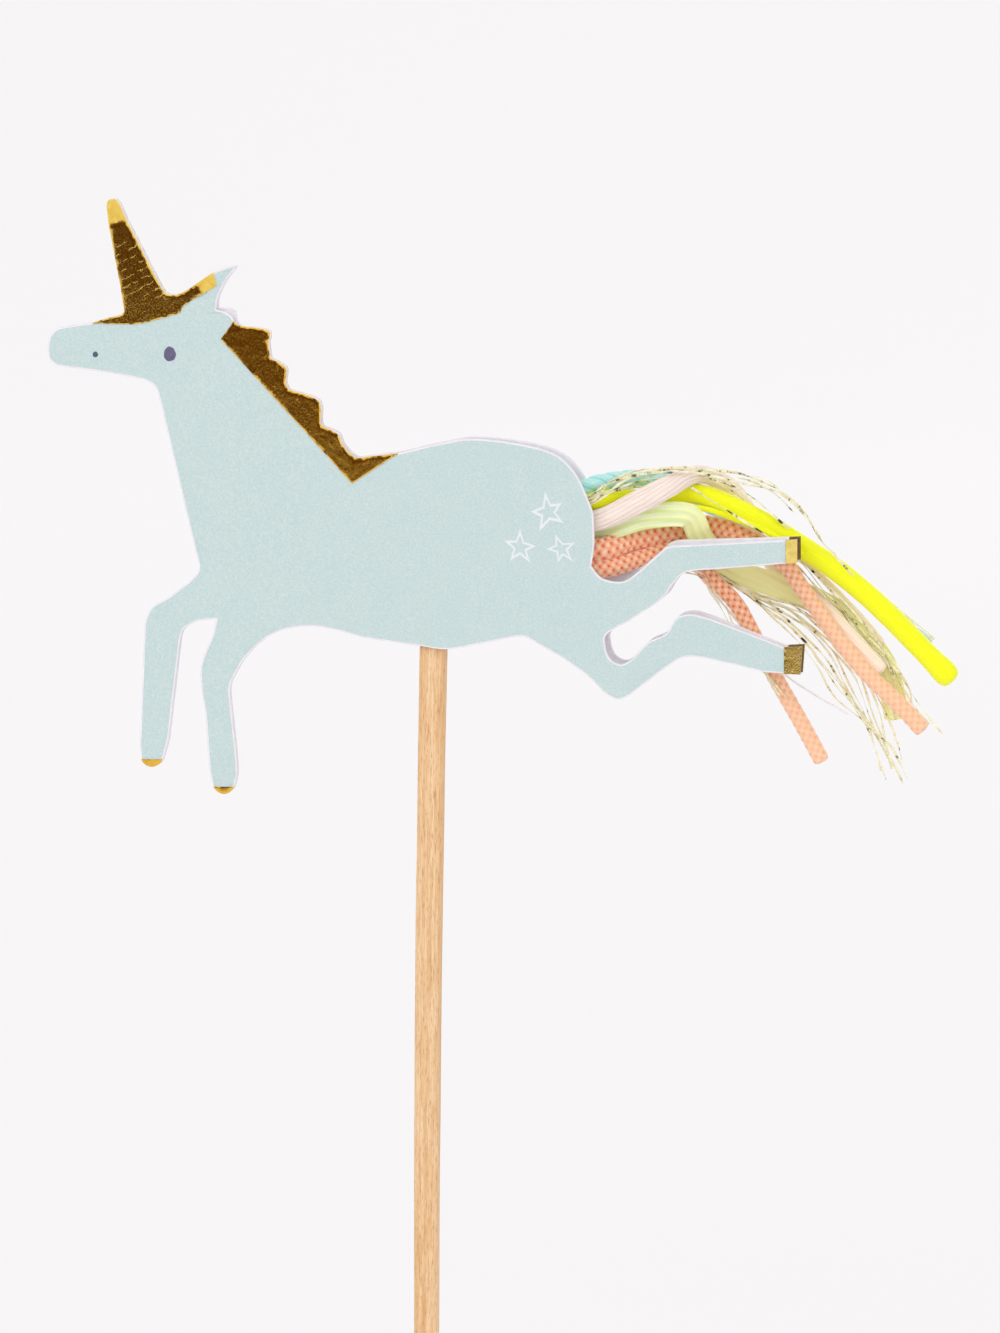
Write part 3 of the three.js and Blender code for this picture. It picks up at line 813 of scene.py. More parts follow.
# Tinsel over the top of the tail
ARCS = [
    [(15.7, -1.0, 15.0), (17.3, -0.4, 16.4), (19.4, 0.2, 17.4), (21.9, 0.6, 17.9), (24.3, 0.9, 18.1),
     (27.2, 1.5, 17.8), (30.1, 2.1, 17.4), (32.3, 2.4, 16.6), (34.6, 2.4, 15.4), (36.6, 2.4, 13.5),
     (37.9, 2.4, 11.1), (39.7, 2.4, 9.2), (41.3, 2.4, 7.4)],
    [(15.3, -1.1, 14.9), (17.4, -0.5, 16.5), (19.9, 0.1, 17.3), (22.5, 0.6, 17.6), (25.1, 1.0, 17.6),
     (27.5, 1.5, 17.2), (30.7, 1.9, 16.4), (33.4, 2.2, 15.8), (35.2, 2.3, 14.7), (36.9, 2.4, 12.9),
     (38.3, 2.4, 10.7), (39.6, 2.4, 9.4)],
    [(15.5, -1.2, 14.7), (16.7, -0.9, 15.4), (18.4, -0.6, 16.1), (20.5, 1.6, 16.7), (22.5, 2.1, 16.9),
     (24.4, 2.1, 16.5), (25.8, 1.9, 15.7), (27.5, 1.9, 14.6), (29.0, 2.0, 13.7), (30.5, 2.1, 12.7),
     (32.6, 2.3, 11.4), (34.2, 2.7, 10.0)],
    [(15.4, -1.2, 15.3), (17.0, -0.7, 16.3), (19.1, 0.6, 16.9), (20.8, 1.4, 17.1), (23.0, 1.9, 17.5),
     (25.4, 2.4, 17.2), (27.8, 3.6, 16.6), (29.3, 4.2, 15.9), (30.9, 4.6, 14.9), (33.0, 5.2, 13.2),
     (35.2, 5.4, 11.4)],
    [(15.2, -1.1, 14.4), (16.9, -0.8, 15.2), (18.8, -0.6, 16.7), (21.0, 1.2, 17.5), (23.6, 1.7, 17.8),
     (26.2, 2.1, 17.4), (28.6, 2.6, 16.4), (30.8, 2.6, 15.2), (32.6, 2.8, 13.9), (34.8, 2.9, 12.0)],
    [(15.8, -0.9, 15.4), (17.6, -0.2, 16.7), (19.6, 0.6, 17.6), (22.2, 1.5, 17.9), (24.8, 2.3, 17.8),
     (27.0, 3.2, 16.8), (29.2, 4.4, 15.4), (31.6, 5.2, 13.4), (34.4, 5.3, 10.9)],
    [(15.9, -0.9, 14.9), (17.4, 0.2, 15.6), (19.6, 1.4, 16.0), (22.0, 1.7, 16.2), (24.0, 2.0, 16.9),
     (26.4, 2.2, 17.4), (29.0, 2.2, 17.1), (31.4, 2.4, 16.6), (33.6, 2.4, 15.4), (35.4, 2.5, 13.6)],
    [(15.8, -0.8, 15.2), (17.6, 0.4, 15.9), (20.0, 1.6, 16.5), (22.6, 2.2, 16.6), (24.6, 2.3, 17.1),
     (26.6, 2.2, 17.7), (28.8, 2.2, 17.7), (31.0, 2.4, 17.2), (33.0, 2.4, 16.6), (34.9, 2.4, 15.0)],
]

# Tinsel fan: the strands of a group lie between a low and a high line, along the body and up.
# FAN_GROUPS gives the two lines and the number of strands.
FAN_ROOT = [(16.1, 1.2, 8.3), (18.4, 3.3, 9.0), (21.0, 5.2, 9.5), (24.0, 5.5, 8.8)]
FAN_LOW = [(28.2, 6.7), (30.5, 5.3), (32.2, 3.6), (34.4, 1.8), (36.0, 0.1), (37.5, -2.3), (39.4, -4.8),
           (42.5, -7.4), (45.2, -10.0), (47.8, -13.0)]
FAN_MIDDLE = [(28.4, 6.4), (30.5, 5.2), (32.2, 4.3), (34.4, 3.2), (36.8, 1.5), (38.8, -0.7), (40.6, -3.6),
              (41.9, -7.2), (43.0, -10.4), (44.0, -12.8)]
FAN_HIGH = [(28.6, 6.5), (30.7, 5.4), (32.7, 4.8), (34.9, 4.2), (37.4, 2.7), (39.9, 0.2), (42.2, -2.3),
            (44.1, -5.6), (45.3, -8.4), (46.0, -10.8)]
FAN_UPPER = [(28.8, 6.5), (31.0, 5.5), (33.1, 4.9), (35.6, 4.3), (38.2, 3.2), (40.5, 1.6), (42.7, 0.4),
             (44.6, -1.9), (46.2, -4.2), (47.6, -5.6)]
BEHIND_LEG_LOW = [(29.6, 9.4), (32.8, 9.2), (35.2, 8.4), (37.8, 5.4), (39.8, 3.2), (41.8, 1.2),
                  (43.8, -0.9), (45.2, -3.2), (46.2, -5.4), (46.8, -7.4)]
BEHIND_LEG_HIGH = [(30.0, 9.9), (33.4, 9.8), (36.6, 8.6), (39.0, 6.4), (41.4, 4.0), (43.4, 1.6),
                   (45.4, -1.2), (46.8, -3.6), (48.6, -5.8), (50.8, -7.9)]
FAN_GROUPS = [
    (FAN_LOW, FAN_MIDDLE, 5),
    (FAN_MIDDLE, FAN_HIGH, 5),
    (FAN_HIGH, FAN_UPPER, 3),
    (BEHIND_LEG_LOW, BEHIND_LEG_HIGH, 4),
]
STRAYS = [
    [(16.1, 1.2, 7.9), (18.4, 2.5, 7.7), (21.2, 3.4, 7.8), (25.8, 3.0, 7.2), (27.0, 2.9, 5.7),
     (28.0, 2.9, 4.3), (29.1, 2.9, 2.3), (31.1, 2.9, -0.8), (33.1, 2.8, -3.0), (34.8, 2.8, -5.0)],
    [(16.1, 1.3, 8.0), (18.4, 2.6, 7.8), (21.2, 3.5, 7.9), (26.0, 3.1, 7.5), (27.6, 2.9, 5.6),
     (28.7, 2.9, 3.9), (29.6, 2.9, 2.0), (31.8, 2.9, -1.3), (33.2, 2.8, -3.4), (34.0, 2.8, -4.6)],
    [(15.2, 0.9, 16.4), (18.0, 2.9, 17.2), (22.0, 5.2, 17.4), (26.0, 8.0, 15.0), (31.0, 8.6, 11.2),
     (37.0, 8.6, 8.2), (41.5, 8.4, 6.0), (43.9, 8.3, 4.6), (45.9, 8.3, 3.0), (47.6, 8.3, 1.7),
     (48.8, 8.4, 0.6)],
]
FAN_DEPTHS = (4.95, 5.4)
ARC_NECK_HEIGHT = 13.6
FAN_NECK_HEIGHT = 10.5
TINSEL_DIAMETER = 0.3
FILM_WIDTH = 0.25
END_EASE = 0.35
SATIN_END_EASE = 1.1


def hang(piece, line, diameter, node, slot):
    """Declares a cord of the tail. Its root stays between the cards and the rest swings."""
    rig.blend(piece, "body", "tail", start=(0.0145, 0, 0.087), end=(0.0185, 0, 0.087))
    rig.replaces(piece, node)
    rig.slot(piece, slot)
    length = sum((b - a).length for a, b in zip(line, line[1:]))
    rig.cord(piece, exit=line[0], length=length, diameter=diameter, far_end="bare",
            stiffness="limp", lay="loose", path=line, with_pieces=())


def tail_cords():
    for k, (node, diameter, section, material, step, around, slot, route) in enumerate(CORDS):
        name = f"tail_{k + 1}_{node}"
        ease = SATIN_END_EASE if node == "yellow_cord" else END_EASE
        piece, line = strand(name, route, tucked(section, ease), step, around, material)
        hang(piece, line, diameter * MM, node, slot)


def fan_routes(dice):
    """Strands of the fan, each between its group's lines, with its own kinks and length."""
    for low, high, count in FAN_GROUPS:
        for k in range(count):
            share = (k + dice.uniform(0.1, 0.9)) / count
            depth = dice.uniform(*FAN_DEPTHS)
            cut = dice.choice([0, 0, 1])
            route = []
            for x, y, z in FAN_ROOT:
                route.append((x + dice.uniform(-0.2, 0.2), y, z + dice.uniform(-0.15, 0.15)))
            for i, ((u0, v0), (u1, v1)) in enumerate(zip(low, high)):
                kink = 0.12 + 0.03 * i + 0.3 * (i > 7)
                route.append((
                    u0 + (u1 - u0) * share + dice.uniform(-kink, kink),
                    depth + dice.uniform(-0.1, 0.1),
                    v0 + (v1 - v0) * share + dice.uniform(-kink, kink),
                ))
            yield route[:len(route) - cut]


def tail_tinsel():
    dice = random.Random(7)
    fan = list(fan_routes(dice)) + STRAYS
    groups = [
        ("tinsel_arc", ARCS, ARC_NECK_HEIGHT, ARC_FILM),
        ("tinsel_fan", fan, FAN_NECK_HEIGHT, FAN_FILM),
    ]
    for node, routes, neck_height, material in groups:
        for k, route in enumerate(routes):
            start = [(NECK_X, dice.uniform(-0.4, 0.4), neck_height),
                     (11.0, dice.uniform(-0.5, 0.5), (neck_height + route[0][2]) / 2)]
            section = ribbon_film(FILM_WIDTH, k + 1)
            name = f"{node}_{k + 1}"
            piece, line = strand(name, start + route, section, step=0.28, around=6, material=material,
                                 sharp=15, shift=7 * k)
            hang(piece, line, TINSEL_DIAMETER * MM, node, "tinsel")


tail_cords()
tail_tinsel()


# Cards, foil and ink

UNICORN = outline((-38.7, 29.4), [
    ("curve", (-38.55, 30.4), (-38.1, 31.1), (-37.2, 31.55), (-34.2, 32.0)),
    ("curve", (-32.9, 32.4), (-31.25, 32.8)),
    ("line", (-30.95, 33.15), (-31.3, 35.5), (-32.8, 43.5)),
    ("curve", (-32.72, 43.97), (-32.45, 44.2), (-31.95, 44.2), (-31.55, 43.85)),
    ("line", (-27.35, 35.7)),
    ("curve", (-26.85, 35.03), (-26.0, 34.8), (-25.0, 35.12), (-23.7, 35.95), (-22.15, 37.0),
     (-20.7, 37.55), (-20.2, 37.68), (-19.97, 37.58), (-20.1, 37.3)),
    ("curve", (-20.9, 36.2), (-21.6, 34.6), (-21.76, 33.4)),
    ("curve", (-21.0, 33.15), (-20.4, 32.9), (-20.05, 32.5), (-19.95, 32.25)),
    ("curve", (-19.3, 31.8), (-17.6, 31.6), (-16.4, 31.2), (-16.5, 30.0), (-16.3, 28.6)),
    ("curve", (-14.8, 27.7), (-14.8, 26.2), (-14.5, 25.5)),
    ("curve", (-12.1, 24.8), (-11.3, 24.0), (-11.3, 22.4), (-11.1, 21.9)),
    ("curve", (-9.6, 21.2), (-9.0, 20.0), (-7.8, 18.9), (-6.5, 19.0)),
    ("curve", (-3.4, 19.4), (0.3, 20.3), (4.6, 20.9), (11.2, 19.9), (14.2, 17.8), (16.1, 13.8)),
    ("curve", (16.2, 10.8), (15.9, 8.5)),
    ("curve", (17.0, 7.3), (19.0, 7.0), (20.6, 8.0)),
    ("line", (23.3, 10.4), (24.0, 10.6), (36.2, 11.3), (36.2, 9.0), (28.3, 8.3)),
    ("curve", (25.4, 8.0), (24.0, 6.8), (22.9, 5.3), (19.7, 3.1)),
    ("curve", (17.5, 1.8), (17.3, 0.6), (17.8, -0.7), (18.9, -1.2), (20.0, -0.6)),
    ("curve", (21.5, 1.0), (23.3, 1.9), (24.3, 3.4), (25.8, 3.8), (27.8, 3.3)),
    ("line", (34.9, 0.6), (36.7, 0.7), (36.5, -2.1), (32.8, -1.9)),
    ("curve", (28.7, -0.9), (25.4, -0.4), (23.4, -1.4)),
    ("line", (19.8, -4.2)),
    ("curve", (18.6, -4.7), (17.3, -4.1), (15.4, -2.3), (12.9, -0.6)),
    ("line", (10.0, 1.0)),
    ("curve", (8.6, 1.4), (4.8, 0.6), (1.4, 0.0), (-1.3, 0.3), (-7.1, 1.0)),
    ("curve", (-10.3, 1.8), (-13.0, 2.0), (-16.2, 1.2), (-18.8, -1.0), (-20.4, -3.6)),
    ("curve", (-20.5, -5.0), (-20.0, -9.9), (-19.8, -12.7)),
    ("curve", (-20.05, -13.9), (-20.5, -14.6), (-21.2, -14.85), (-21.9, -14.55), (-22.35, -13.9),
     (-22.65, -12.3)),
    ("line", (-23.0, -6.8)),
    ("curve", (-23.4, -4.5), (-23.4, -1.9), (-22.3, 0.9), (-21.9, 2.6)),
    ("curve", (-23.7, 2.4), (-25.2, 1.5), (-25.6, -0.2)),
    ("line", (-26.75, -9.5)),
    ("curve", (-27.25, -11.2), (-27.7, -11.95), (-28.4, -12.25), (-29.05, -12.1), (-29.5, -11.5),
     (-29.65, -10.0)),
    ("line", (-29.1, 2.1)),
    ("curve", (-28.4, 3.7), (-26.5, 4.9), (-24.0, 6.9), (-23.6, 7.9)),
    ("line", (-27.4, 24.2)),
    ("curve", (-27.9, 25.7), (-29.2, 26.4), (-33.0, 27.1)),
    ("curve", (-37.3, 27.65), (-38.1, 27.95), (-38.6, 28.5), (-38.7, 29.4)),
])

# Where the back card stands prouder than the front one: behind the ear, in the notch under the
# tail and along the upper hind leg. Each has its middle, its shift and how wide it reaches.
PROUD_PLACES = [
    ((-20.6, 33.0), (0.33, 0.36), 1.2),
    ((19.1, 7.1), (0.0, 0.8), 1.4),
    ((26.5, 10.7), (0.0, 0.26), 5.0),
]


def prouder(loop):
    """The card's outline with the back card's small shifts."""
    shifted = []
    for point in loop:
        moved = point.copy()
        for middle, shift, reach in PROUD_PLACES:
            moved += Vector(shift) * math.exp(-((point - Vector(middle)).length / reach) ** 2)
        shifted.append(moved)
    return shifted


def rim_points(loop, count):
    """Places at equal distances all round an outline."""
    return even_points([*loop, loop[0]], count)[0]


def tree_of(points):
    tree = kdtree.KDTree(len(points))
    for i, point in enumerate(points):
        tree.insert((point.x, point.y, 0), i)
    tree.balance()
    return tree


def half_gap(u, v):
    """Half the gap between the cards: the mean of seven places side by side, so that its bends are
    eased. It narrows down the hind legs."""
    gaps = 0.0
    for k in range(-3, 4):
        x = u + BEND_SOFTNESS * k / 3
        for (x0, gap0), (x1, gap1) in zip(SPREAD, SPREAD[1:]):
            if x <= x1:
                gaps += gap0 + (gap1 - gap0) * max(0.0, (x - x0) / (x1 - x0))
                break
    lower_leg = v < 1.5 + 0.7 * min(u - LEGS_FROM, 6.5)
    closing = 1.1 * between(u, LEGS_FROM, 34) if lower_leg else 0.4 * between(u, 26, 36)
    return gaps / 7 - closing


def lean_back(u, v, side):
    """How far the tips of horn, ear and left fore hoof bend back, and the front card's hind hoofs."""
    horn = ear = hoof = toe = 0.0
    if v > 40:
        horn = HORN_BEND * max(0.0, v - 41.8 - 0.3 * (u + 32.0))
    if 33 < v < 39 and u < -18:
        ear = EAR_BEND * max(0.0, (u + 23.4) * 0.86 + (v - 35.4) * 0.5)
    if side < 0:
        hoof = (UPPER_HOOF_BEND if v > 4 else LOWER_HOOF_BEND) * max(0.0, u - HOOF_FROM)
    if u < -25:
        toe = TOE_BEND * max(0.0, -11.4 - v)
    return horn + ear + hoof + toe


def flat_plate(loops, near, far, edge=0.0):
    """A flat sheet with the given outlines: x along the body, y up, z off the card."""
    curve = bpy.data.curves.new("plate", "CURVE")
    curve.dimensions = "2D"
    curve.fill_mode = "BOTH"
    curve.extrude = (far - near) / 2 - edge
    curve.bevel_depth = edge
    curve.bevel_resolution = 1
    curve.offset = -edge
    for loop in loops:
        spline = curve.splines.new("POLY")
        spline.points.add(len(loop) - 1)
        for point, place in zip(spline.points, loop):
            point.co = (place.x, place.y, 0, 1)
        spline.use_cyclic_u = True
    holder = bpy.data.objects.new("plate", curve)
    mesh = bpy.data.meshes.new_from_object(holder)
    bm = bmesh.new()
    bm.from_mesh(mesh)
    bpy.data.objects.remove(holder)
    bpy.data.curves.remove(curve)
    bpy.data.meshes.remove(mesh)
    bmesh.ops.remove_doubles(bm, verts=bm.verts, dist=1e-4)
    bmesh.ops.translate(bm, vec=(0, 0, (near + far) / 2), verts=bm.verts)
    bmesh.ops.recalc_face_normals(bm, faces=bm.faces)
    return bm


def cut_across(bm, axis, first, last, step):
    """Cuts the sheet along evenly spaced lines, so that it can bend there."""
    normal = Vector((1, 0, 0)) if axis == 0 else Vector((0, 1, 0))
    for k in range(math.ceil((last - first) / step)):
        geometry = bm.verts[:] + bm.edges[:] + bm.faces[:]
        place = normal * (first + k * step)
        bmesh.ops.bisect_plane(bm, geom=geometry, dist=1e-5, plane_co=place, plane_no=normal)


def bend_to_card(bm, side, relief=None):
    """Lays a flat sheet on the front card (side -1) or the back card (side 1)."""
    for vert in bm.verts:
        u, v, off = vert.co
        if relief:
            off += relief(u, v)
        vert.co = (u, side * (half_gap(u, v) + off) + lean_back(u, v, side), v)


def stick_crease(u, v):
    """A faint ridge in the card over the stick, which fades out upwards."""
    height = RIDGE_HEIGHT * math.exp(-((u - RIDGE_MIDDLE) / RIDGE_REACH) ** 2)
    return height * clamp((RIDGE_TOP - v) / RIDGE_FADE)


def rim_between(start, end):
    """The card's outline from the place nearest to the first point to that nearest to the second."""
    def nearest(point):
        return min(range(len(UNICORN)), key=lambda i: (UNICORN[i] - Vector(point)).length)

    return UNICORN[nearest(start):nearest(end) + 1]


HORN = rim_between((-34.2, 32.0), (-22.15, 37.0)) + outline((-21.75, 35.75), [
    ("line", (-22.6, 35.2), (-24.05, 34.4), (-25.2, 33.55), (-25.3, 33.05)),
    ("curve", (-28.3, 32.2), (-30.1, 31.9), (-32.2, 31.9)),
])
MANE = rim_between((-19.95, 32.25), (-3.4, 19.4)) + [Vector((-8.1, 16.3)), Vector((-21.25, 30.47))]
HOOFS = {
    "fore_hoof_foil_left": [p for p in UNICORN if -31 < p.x < -25 and p.y < -11.45],
    "fore_hoof_foil_right": [p for p in UNICORN if -24 < p.x < -18 and p.y < -14.1],
    "hind_hoof_foil_upper": outline((35.12, 11.24), [("line", (36.2, 11.3), (36.2, 9.0), (35.12, 8.9))]),
    "hind_hoof_foil_lower": outline((34.9, 0.6), [("line", (36.7, 0.7), (36.5, -2.1), (34.9, -2.03))]),
}
CARD_EDGE_TREE = tree_of(rim_points(UNICORN, 5000))
FOIL_EDGE_TREE = tree_of([
    point for loop in (HORN, MANE, *HOOFS.values()) for point in rim_points(loop, 800)])
# The card's materials, in the order of its mesh
CARD_MATERIALS = [PRINT, CORE, INSIDE_SHADE, FOIL_RIM_HIGHLIGHT, FOIL_END_PAINTED_DARK]
PRINTED, CUT_EDGE, INNER, GOLD_EDGE_HIGHLIGHT, HOOF_END_PAINTED_DARK = range(5)
# Where a card is cut so that it can bend: axis, first place, last place and step
CARD_CUTS = [
    (0, -15.0, 18.5, 0.5), (0, -33.0, -18.0, 1.5), (0, LEGS_FROM, 35.0, 1.5),
    (0, -0.9, 0.4, 0.15), (1, 33.0, 44.0, 0.5), (1, 1.0, 9.5, 2.0),
]


def card(name, side):
    loop = UNICORN if side < 0 else prouder(UNICORN)
    bm = flat_plate([loop], 0, CARD_THICKNESS, CARD_EDGE)
    for face in bm.faces:
        facing = face.normal.z
        # Inner faces take the darker inside card: painted shade between the cards.
        face.material_index = PRINTED if facing > 0.98 else INNER if facing < -0.98 else CUT_EDGE
        # Eased edges beside the foil take the paler rim foil: painted highlight.
        if face.material_index == CUT_EDGE and facing > 0.2:
            middle = face.calc_center_median()
            if FOIL_EDGE_TREE.find((middle.x, middle.y, 0))[2] < 0.15:
                face.material_index = GOLD_EDGE_HIGHLIGHT
    # Past HOOF_FROM the cut edges and the inner face turn dark brown: painted shade and painted dark reflection at the
    # hoofs' ends.
    cut_across(bm, 0, HOOF_FROM, HOOF_FROM + 0.3, 0.5)
    for face in bm.faces:
        if face.calc_center_median().x > HOOF_FROM and face.material_index != PRINTED:
            face.material_index = HOOF_END_PAINTED_DARK
    for cuts in CARD_CUTS:
        cut_across(bm, *cuts)
    bend_to_card(bm, side, stick_crease)
    settle(finish_piece(name, bm, CARD_MATERIALS, CARD_PLACE), name, "card")


def foil(name, side, loop, grid=FOIL_GRID, turned=RIM_TURN):
    """A foil film with fine dents, whose rim turns down over the card's eased edge. Except on the hind hoofs, its
    outer ring takes the paler rim foil: a painted highlight.
    """
    near_rim = tree_of(rim_points(loop, 1200))

    def dents(u, v):
        distance = near_rim.find((u, v, 0))[2]
        to_edge = CARD_EDGE_TREE.find((u, v, 0))[2]
        on_card_edge = to_edge < distance + 0.05
        if on_card_edge:
            glint = clamp(0.75 + 1.1 * ripple(u * 2.9, v * 2.9, 5.0), 0.3, 1.15)
            rim = turned * glint * max(0.0, 1 - distance / RIM_REACH)
        else:
            speck = clamp(0.5 + 1.6 * ripple(u * 2.3, v * 2.3, 3.0))
            rim = INNER_RIM_TURN * speck * max(0.0, 1 - distance / INNER_RIM_REACH)
        inner = min(1.0, distance / DENTS_FROM)
        soft = SOFT_DENT * ripple(u * 0.9, v * 0.9, 7.0)
        fine = FINE_DENT * ripple(u * 3.1, v * 2.2, 1.0)
        return inner * (soft + fine) - rim

    bm = flat_plate([loop], FOIL_NEAR, FOIL_FAR)
    for width in (RIM_WIDTH, 0.1):
        outer = [face for face in bm.faces if face.normal.z > 0.9 and not face.tag]
        inset = bmesh.ops.inset_region(bm, faces=outer, thickness=width, use_even_offset=True)
        for face in inset["faces"]:
            face.tag = True
            face.material_index = 1 if width == RIM_WIDTH else 0
    xs = [p.x for p in loop]
    ys = [p.y for p in loop]
    cut_across(bm, 0, min(xs) + grid / 2, max(xs), grid)
    cut_across(bm, 1, min(ys) + grid / 2, max(ys), grid)
    bend_to_card(bm, side, dents)
    # The hind hoofs take the paler hoof foil: painted light.
    material = HORN_FOIL if loop is HORN else FOIL if turned else HOOF_FOIL_PAINTED_LIGHT
    # The second material, for the film's outer ring, is the paler rim foil: painted highlight. The hind hoofs keep
    # their own foil there.
    materials = [material, FOIL_RIM_HIGHLIGHT if turned else material]
    settle(finish_piece(name, bm, materials, CARD_PLACE, sharp=60), name, "gold_foil")


def dot(u, v, across, up):
    """An oval with a slightly uneven outline."""
    loop, count = [], 48
    for k in range(count):
        a = math.tau * k / count
        size = 1 + 0.035 * math.cos(3 * a + 1.0) + 0.02 * math.cos(7 * a)
        loop.append(Vector((u + across * size * math.cos(a), v + up * size * math.sin(a))))
    return loop


def star(centre, tips):
    """A star's line as an outer and an inner loop, from its middle and its five tips."""
    middle = Vector(centre)
    tips = [Vector(tip) for tip in tips]
    corners = []
    for tip, following in zip(tips, tips[1:] + tips[:1]):
        corners += [tip, middle + ((tip + following) / 2 - middle) * 0.52]
    return [corners, [middle + (corner - middle) * 0.64 for corner in corners]]


STARS = [
    ((11.6, 13.8), [(11.3, 15.8), (13.0, 14.7), (13.2, 12.7), (10.7, 11.8), (9.8, 13.8)]),
    ((8.8, 10.3), [(8.8, 12.1), (10.4, 10.4), (9.8, 8.7), (7.8, 8.9), (7.2, 10.9)]),
    ((12.9, 10.2), [(12.3, 11.6), (14.3, 10.8), (14.1, 8.9), (12.6, 8.8), (11.4, 10.1)]),
]
MARKS = {
    "eye": ([dot(-26.4, 28.95, 0.6, 0.73)], EYE_INK),
    "nostril": ([dot(-33.9, 28.85, 0.27, 0.28)], NOSTRIL_INK),
    **{f"star_{k + 1}": (star(*points), STAR_INK) for k, points in enumerate(STARS)},
}


def printed_mark(name, side, loops, material):
    bm = flat_plate(loops, INK_NEAR, INK_FAR)
    bend_to_card(bm, side)
    piece = finish_piece(name, bm, [material], CARD_PLACE)
    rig.ride(piece, "body")
    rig.slot(piece, "card")


for side_name, side in (("front", -1), ("back", 1)):
    card(f"{side_name}_card", side)
    foil(f"horn_foil_{side_name}", side, HORN)
    foil(f"mane_foil_{side_name}", side, MANE)
    for hoof, loop in HOOFS.items():
        foil(f"{hoof}_{side_name}", side, loop, HOOF_GRID, 0.0 if "hind" in hoof else RIM_TURN)
    for mark, (loops, material) in MARKS.items():
        printed_mark(f"{mark}_{side_name}", side, loops, material)


# Stick
STICK_LENGTH = 91
STICK_BOW = 0.26
STICK_HALF_DEPTH = 1.0
STICK_HALF_WIDTH = 1.15
STICK_WIDENS = 0.002
STICK_CORNER = 1.72


def stick_section(s, length, angle):
    """A rectangle with eased corners, a little narrower low down, and fine grooves along the grain."""
    x, y = math.cos(angle), math.sin(angle)
    half_width = STICK_HALF_WIDTH + STICK_WIDENS * s
    reach = min(half_width / max(abs(x), 1e-6), STICK_HALF_DEPTH / max(abs(y), 1e-6))
    a, b = x * reach, y * reach
    over = abs(a) / half_width + abs(b) / STICK_HALF_DEPTH
    ease = max(0.0, over - STICK_CORNER) * 0.5
    groove = 0.02 * ripple(a * 5.0, b * 5.0, s * 0.12)
    wave = 0.02 * ripple(s * 0.08, 5.0)
    size = 1 - ease + groove
    return a * size + wave, b * size, 0.5


def stick():
    route = [(-STICK_BOW * math.sin(math.pi * k / 8), 0, STICK_LENGTH * k / 8) for k in range(9)]
    piece, _ = strand("stick", route, stick_section, step=0.5, around=96, material=WOOD,
                      place=STICK_PLACE, sharp=50)
    settle(piece, "stick", "wood")


stick()


# Between the cards: binding thread, root of the tassel, glue and tape

THREAD_RADIUS = 0.14
THREAD_TURNS = 5
# The tassel's neck under the thread: its near end, length, middle height and half sizes
NECK_START = 5.15
NECK_LENGTH = 1.2
NECK_MIDDLE = 12.2
NECK_HALF_DEPTH = 0.931
NECK_HALF_HEIGHT = 2.1


def round_thread(s, length, angle):
    return THREAD_RADIUS * math.cos(angle), THREAD_RADIUS * math.sin(angle), 0.5


def binding():
    """The turns of thread round the tassel's neck."""
    steps = 28
    route = []
    for k in range(THREAD_TURNS * steps + 1):
        angle = math.tau * k / steps
        reach = 1 / max(abs(math.cos(angle)), abs(math.sin(angle))) ** 0.7
        route.append((
            NECK_START + NECK_LENGTH * k / (THREAD_TURNS * steps),
            NECK_HALF_DEPTH * reach * math.cos(angle),
            NECK_MIDDLE + NECK_HALF_HEIGHT * math.sin(angle),
        ))
    piece, _ = strand("binding_thread", route, round_thread, step=0.25, around=8, material=THREAD)
    settle(piece, "binding_thread", "thread")


def gathered_ends():
    """The cords' ends between the thread and the stick, cut a little uneven."""
    heights = [(13.7, TURQUOISE), (13.1, YELLOW), (12.5, PINK), (11.9, GREEN), (11.3, CORAL), (10.7, CORAL)]
    section = bundled(0.42, 7, 20.0, 1.6)
    dice = random.Random(3)
    for k, (height, material) in enumerate(heights):
        start = 4.0 + dice.uniform(0.0, 0.5)
        route = [(start, dice.uniform(-0.2, 0.2), height), (5.5, 0, height), (NECK_X + 0.8, 0, height)]
        name = f"gathered_end_{k + 1}"
        piece, _ = strand(name, route, section, step=0.2, around=28, material=material)
        settle(piece, "tassel_root", "strand_ends")


def glue_bead(node):
    """A flattened bead in the space of its solid."""
    low, high = (Vector(corner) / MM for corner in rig.box(node))
    middle = (low + high) / 2
    half = (high - low) / 2
    bm = bmesh.new()
    bmesh.ops.create_cube(bm, size=2.0)
    bmesh.ops.scale(bm, vec=half, verts=bm.verts)
    bmesh.ops.translate(bm, vec=middle, verts=bm.verts)
    bmesh.ops.subdivide_edges(bm, edges=bm.edges[:], cuts=7, use_grid_fill=True)
    for vert in bm.verts:
        share = Vector([(c - m) / h for c, m, h in zip(vert.co, middle, half)])
        corner = max(0.0, math.hypot(share.x, share.z) - 0.85) * 0.5
        wave = 0.12 * ripple(*vert.co * 0.6)
        vert.co.x = middle.x + share.x * half.x * (0.9 - corner + wave)
        vert.co.z = middle.z + share.z * half.z * (0.95 - corner)
    settle(finish_piece(node, bm, [GLUE], STICK_PLACE, sharp=40), node, "glue")


binding()
gathered_ends()
for bead in ("stick_glue_front", "stick_glue_back", "tassel_glue_front", "tassel_glue_back"):
    glue_bead(bead)
for patch in ("head_tape", "neck_tape", "foreleg_tape_left", "foreleg_tape_right"):
    tape = frame["nodes"][patch]
    tape.data.materials.clear()
    tape.data.materials.append(TAPE)


# Stage: a pale floor that rises into a backdrop, three soft lamps and an even sky

PAPER = "#f8f6f7"
PAPER_GLOW = 0.88
BACKDROP_Y = 1.4
FLOOR_FRONT = -0.6
STAGE_HALF_WIDTH = 1.6
BACKDROP_TOP = 1.2
COVE_RADIUS = 0.15
LAMP_AIM = Vector((0, 0, 0.095))


